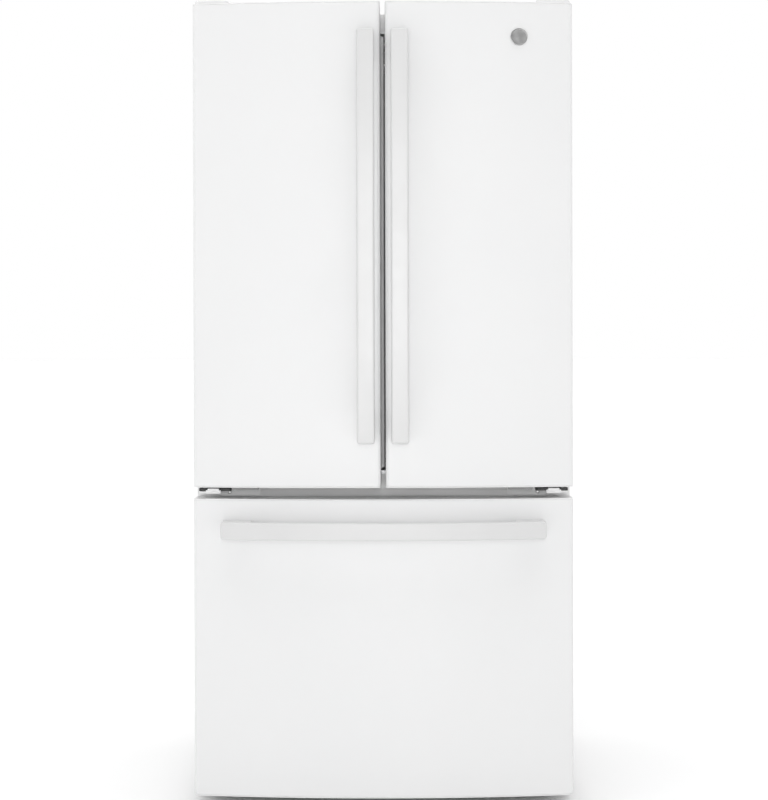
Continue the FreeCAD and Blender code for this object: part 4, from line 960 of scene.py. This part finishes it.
def crisper_cover():
    """Frame with two glass panes over the vegetable drawers, and the divider between them."""
    box = span("crisper_cover")
    shape = Shape("white_plastic")
    low, high = box.z1 - 12, box.z1
    section = [(0, low + 1), (1, low), (13, low), (14, low + 1), (14, high - 1.5), (12.5, high)]
    section += [(4, high), (3, high - 0.9), (0, high - 1.2)]
    for sign in SIDES.values():
        x = across(sign, 16, box.x1 - 14)
        shape.use("white_plastic")
        shape.rim(x, (box.y0 + 14, box.y1 - 14), 4, section, "xy", 6)
        shape.use("shelf_glass")
        shape.block((x[0] - 2, x[1] + 2), (box.y0 + 12, box.y1 - 12), (high - 5, high - 1.4), 0.6)
    shape.use("white_plastic")
    shape.block((-3, 3), (box.y0 + 14, box.y1 - 14), (box.z0 + 0.2, low + 1), 1)
    make("crisper_lid_frame", shape, "crisper_cover")


def crispers():
    """Clear drawers with a frosted, crowned front and a rolled finger grip."""
    for side, sign in SIDES.items():
        box = span(f"{side}_crisper")
        tray_x = across(sign, 10, 352)
        face_y = box.y0 + 14
        shape = Shape("clear_plastic")
        shape.tray(tray_x, (face_y + 5, box.y1), (box.z0, box.z1 - 10), 2.8, 16, 0.6, 10)
        shape.use("frosted_plastic")
        front = [(3, face_y), (0.8, face_y + 0.8), (0, face_y + 2.4), (0, face_y + 5), (1, face_y + 6)]
        shape.inset_stack(box.x, box.z, 9, front, "xz", 6)
        grip_x = across(sign, 90, 276)
        top = box.z1 - 26
        grip = [(face_y + 1, top), (box.y0 + 5, top), (box.y0 + 1.2, top - 1.6), (box.y0, top - 5)]
        grip += [(box.y0 + 1.2, top - 6), (box.y0 + 2.6, top - 3.6)]
        grip += [(box.y0 + 6, top - 3), (face_y + 1, top - 3)]
        shape.extrude(grip, grip_x)
        shape.block((grip_x[0] - 14, grip_x[1] + 14), (face_y - 0.8, face_y + 1), (top - 34, top + 10), 0.7)
        make(f"{side}_vegetable_drawer", shape, f"{side}_crisper")


DISPLAY_Z = (1683, 1701)


def lamp_and_panel():
    """Ribbed lamp lens, and a display window with small lamps between the two keys."""
    box = span("light_lens")
    shape = Shape("lamp_lens")
    levels = [(0, box.z1), (0, box.z0 + 4), (1.2, box.z0 + 1.4), (4, box.z0 + 0.4)]
    shape.inset_stack(box.x, box.y, 8, levels)
    for n in range(13):
        at = box.x0 + 10 + n * 10
        shape.tube([(at, box.y0 + 8, box.z0 + 0.9), (at, box.y1 - 8, box.z0 + 0.9)], 0.9, 8)
    make("lamp_cover", shape, "light_lens")
    panel = span("control_panel")
    shape = Shape("display_window")
    front = panel.y0
    shape.inset_stack((-24, 24), DISPLAY_Z, 4, ((0, front + 0.5), (0, front - 0.4)), "xz")
    shape.use("white_plastic")
    for n in range(5):
        at = (-16 + 8 * n, front - 0.2, sum(DISPLAY_Z) / 2)
        shape.lathe([(1.5, 0), (1.5, 0.5), (0.9, 0.9)], at, (0, -1, 0), 14)
    make("panel_display", shape, on="cabinet")


MEMBER_Z = (402, 424)
SLIDE_Z = sum(MEMBER_Z) / 2


def channel(shape, sign, far, wide, z, y, gauge, fold):
    """A rolled channel that opens towards the middle, its lips folded back by fold."""
    near = far - wide
    outline = [(far, z[0]), (near, z[0]), (near, z[0] + fold), (near + gauge, z[0] + fold)]
    outline += [(near + gauge, z[0] + gauge), (far - gauge, z[0] + gauge), (far - gauge, z[1] - gauge)]
    outline += [(near + gauge, z[1] - gauge), (near + gauge, z[1] - fold), (near, z[1] - fold)]
    outline += [(near, z[1]), (far, z[1])]
    shape.extrude([(a * sign, b) for a, b in outline], y, "xz")


def slides():
    """Telescopic slides: a channel on the liner, a middle member and the drawer's own member."""
    outer, middle, inner = span("slide_outer_rails"), span("slide_middle_rails"), span("drawer_rails")
    rails = Shape("plated_steel")
    for sign in SIDES.values():
        rails.use("plated_steel")
        channel(rails, sign, outer.x1, 8.8, outer.z, outer.y, 2, 6)
        rails.use("zinc_screw")
        for y in (outer.y0 + 30, outer.y0 + 170, outer.y1 - 30):
            rails.screw(((outer.x1 - 2) * sign, y, SLIDE_Z), (-sign, 0, 0), 4.5, 1.6)
    make("slide_channels", rails, "slide_outer_rails")
    rails = Shape("plated_steel")
    for sign in SIDES.values():
        channel(rails, sign, middle.x1, 7.0, middle.z, middle.y, 1.6, 5)
    make("slide_members", rails, "slide_middle_rails")
    rails = Shape("plated_steel")
    far = inner.x1
    web_z = (MEMBER_Z[0], MEMBER_Z[0] + 3)
    for sign in SIDES.values():
        rails.use("plated_steel")
        channel(rails, sign, far, 6.4, MEMBER_Z, (inner.y0 + 3, inner.y1), 1.5, 4)
        rails.block(across(sign, 326, far - 6), (inner.y0 + 3, inner.y1), web_z, 0.8)
        rails.block(across(sign, 326, 348), (inner.y0, inner.y0 + 4), inner.z, 1.2)
        rails.use("zinc_screw")
        for z in (352, 386, 440, 458):
            rails.screw((337 * sign, inner.y0 + 4, z), (0, 1, 0), 4.5, 2.2)
    make("drawer_slide_members", rails, "drawer_rails")


def bent(points, radius):
    """A path through points whose corners are bent, starting a radius away from each."""
    points = [Vector(p) for p in points]
    path = [points[0]]
    for before, corner, after in zip(points, points[1:], points[2:]):
        start = corner + (before - corner).normalized() * radius
        end = corner + (after - corner).normalized() * radius
        for t in (0, 0.25, 0.5, 0.75, 1):
            path.append(start * (1 - t) ** 2 + corner * 2 * t * (1 - t) + end * t**2)
    return path + [points[-1]]


def wire_basket(name, node, x, y, z, pitch, runners):
    """Bent wires welded to a heavier rim and a middle hoop, on two moulded runners."""
    shape = Shape("white_wire")
    rim_wire, thin = 3.4, 1.9
    top = z[1] - rim_wire

    def hoop(height, radius, inset):
        ring = rounded(x[0] + inset, x[1] - inset, y[0] + inset, y[1] - inset, 16, 6)
        shape.tube([(a, b, height) for a, b in ring], radius, 8, around=True)

    hoop(top, rim_wire, rim_wire)
    hoop((z[0] + z[1]) / 2, thin, thin)
    for along, (a, b) in (("y", (x, y)), ("x", (y, x))):
        count = int((a[1] - a[0]) / pitch)
        low = z[0] + thin + (2 * thin if along == "x" else 0)
        edge = 2 * thin + 1.2
        for n in range(count + 1):
            at = a[0] + 22 + (a[1] - a[0] - 44) * n / count
            line = [(b[0] + edge, top), (b[0] + edge, low), (b[1] - edge, low), (b[1] - edge, top)]
            path = [(at, p, q) if along == "y" else (p, at, q) for p, q in line]
            shape.tube(bent(path, 14), thin, 6)
    shape.use("white_plastic")
    for sign in SIDES.values():
        (near, far), run_y, run_z = runners
        shape.block(across(sign, near, far), run_y, run_z, 1.4)
    make(name, shape, node)


def baskets():
    """The deep basket in the drawer and the shallow one above it."""
    low, high = span("lower_basket"), span("upper_basket")
    wire_basket(
        "lower_wire_basket", "lower_basket", (-322, 322), low.y, low.z, 44,
        ((318, 338), (-168, 52), (405, 409)),
    )
    wire_basket(
        "upper_wire_basket", "upper_basket", (-344, 344), high.y, high.z, 48,
        ((341, 364), high.y, (558.5, 562.5)),
    )


def fasteners():
    """Screws round the rear panel and the machine cover."""
    cover, panel = span("machine_cover"), span("back_panel")
    shape = Shape("zinc_screw")
    for z in (cover.z0 + 12, cover.z1 - 12):
        for n in range(7):
            x = cover.x0 + 18 + n * (cover.x1 - cover.x0 - 36) / 6
            shape.screw((x, cover.y1 - 2, z), (0, 1, 0), 4, 1.9)
    for n in range(8):
        z = panel.z0 + 40 + n * (panel.z1 - panel.z0 - 80) / 7
        for sign in SIDES.values():
            shape.screw((sign * (panel.x1 - 10), panel.y1 - 1.9, z), (0, 1, 0), 4, 1.9)
    make("rear_screws", shape, on="cabinet")


# --- Stage ---------------------------------------------------------------------------------------


def floor():
    """A wide pale studio floor."""
    made = Surface("studio_floor")
    made.colour(made.noise(900, 2), grey(0.92), grey(0.93))
    made.rough(made.noise(300), 0.55, 0.65)
    mesh = bpy.data.meshes.new("studio_floor")
    reach = 150
    corners = [(a * reach, b * reach, 0) for a, b in ((-1, -1), (1, -1), (1, 1), (-1, 1))]
    mesh.from_pydata(corners, [], [(0, 1, 2, 3)])
    mesh.materials.append(made.material)
    plane = bpy.data.objects.new("studio_floor", mesh)
    bpy.context.scene.collection.objects.link(plane)


def area_light(name, at, aim, size, power):
    """A rectangular light at a point, in metres, turned to face another point."""
    data = bpy.data.lights.new(name, "AREA")
    data.shape = "RECTANGLE"
    data.size, data.size_y = size
    data.energy = power
    lamp = bpy.data.objects.new(name, data)
    lamp.location = at
    lamp.rotation_euler = (Vector(aim) - Vector(at)).to_track_quat("-Z", "Y").to_euler()
    bpy.context.scene.collection.objects.link(lamp)


def studio():
    """Even white surroundings, dimmer in front so that the fronts keep their shading."""
    world = bpy.data.worlds.new("studio")
    bpy.context.scene.world = world
    world.use_nodes = True
    nodes, links = world.node_tree.nodes, world.node_tree.links
    place = nodes.new("ShaderNodeTexCoord")
    split = nodes.new("ShaderNodeSeparateXYZ")
    fade = nodes.new("ShaderNodeMapRange")
    set_range(fade, -0.7, -0.1, 0.44, 1.0)
    links.new(place.outputs["Generated"], split.inputs["Vector"])
    links.new(split.outputs["Y"], fade.inputs["Value"])
    links.new(fade.outputs["Result"], nodes["Background"].inputs["Strength"])
    nodes["Background"].inputs["Color"].default_value = (1, 1, 1, 1)
    area_light("front", (0.0, -6.0, 1.35), (0, -0.3, 0.9), (0.5, 2.0), 88)
    area_light("key", (-3.4, -3.0, 2.8), (0, -0.3, 1.0), (1.8, 1.8), 10)
    sky = bpy.data.lights.new("overhead", "SUN")
    sky.energy, sky.angle = 0.85, math.radians(40)
    lamp = bpy.data.objects.new("overhead", sky)
    lamp.rotation_euler = (math.radians(8), 0, 0)
    bpy.context.scene.collection.objects.link(lamp)
    bpy.context.scene.view_settings.view_transform = "Standard"


def camera():
    """Stands a little above the middle of the cabinet, in metres, and looks almost straight at it."""
    away, height, sideways = 3.65, 1.006, 0.018
    pitch, yaw, roll = (math.radians(a) for a in (0.25, -0.25, -0.14))
    data = bpy.data.cameras.new("camera")
    data.lens = 75.0
    data.shift_y = -0.055
    eye = bpy.data.objects.new("camera", data)
    bpy.context.scene.collection.objects.link(eye)
    edge = front_at(HALF - CORNER) * MM
    turn = Matrix.Rotation(-yaw, 4, "Z") @ Matrix.Rotation(math.pi / 2 - pitch, 4, "X")
    turn = turn @ Matrix.Rotation(roll, 4, "Z")
    eye.matrix_world = Matrix.Translation((sideways, edge - away, height)) @ turn
    bpy.context.scene.camera = eye


# --- Assembly ------------------------------------------------------------------------------------

SOFTENED = {
    0.3: ("fridge_temp_button", "freezer_temp_button"),
    0.4: ("back_panel", "shelf_tracks", "left_leveling_leg", "right_leveling_leg"),
    0.5: ("machine_cover", "condenser_fan", "evaporator_fan"),
    0.6: ("base_frame", "top_hinges", "left_rear_roller", "right_rear_roller"),
    0.8: ("center_rail", "toe_grille", "condenser_fan_motor", "evaporator_cover"),
    1.0: ("drain_pan",),
    1.2: ("outer_case",),
    1.5: ("compressor",),
    1.6: ("control_panel",),
    2.4: ("air_duct",),
}

for node_name, node_object in frame["nodes"].items():
    for slot in node_object.material_slots:
        slot.material = MATERIALS[SLOT_OF[node_name]]

front_pieces()
handles()
emblem()
hinge_covers()
center_hinges()
mullion_flap()
door_backs()
door_bins()
dairy_lid()
compartment_liners()
shelves()
crisper_cover()
crispers()
lamp_and_panel()
slides()
baskets()
fasteners()
for edge_width, softened_nodes in SOFTENED.items():
    for softened in softened_nodes:
        soften(softened, edge_width)
floor()
studio()
camera()
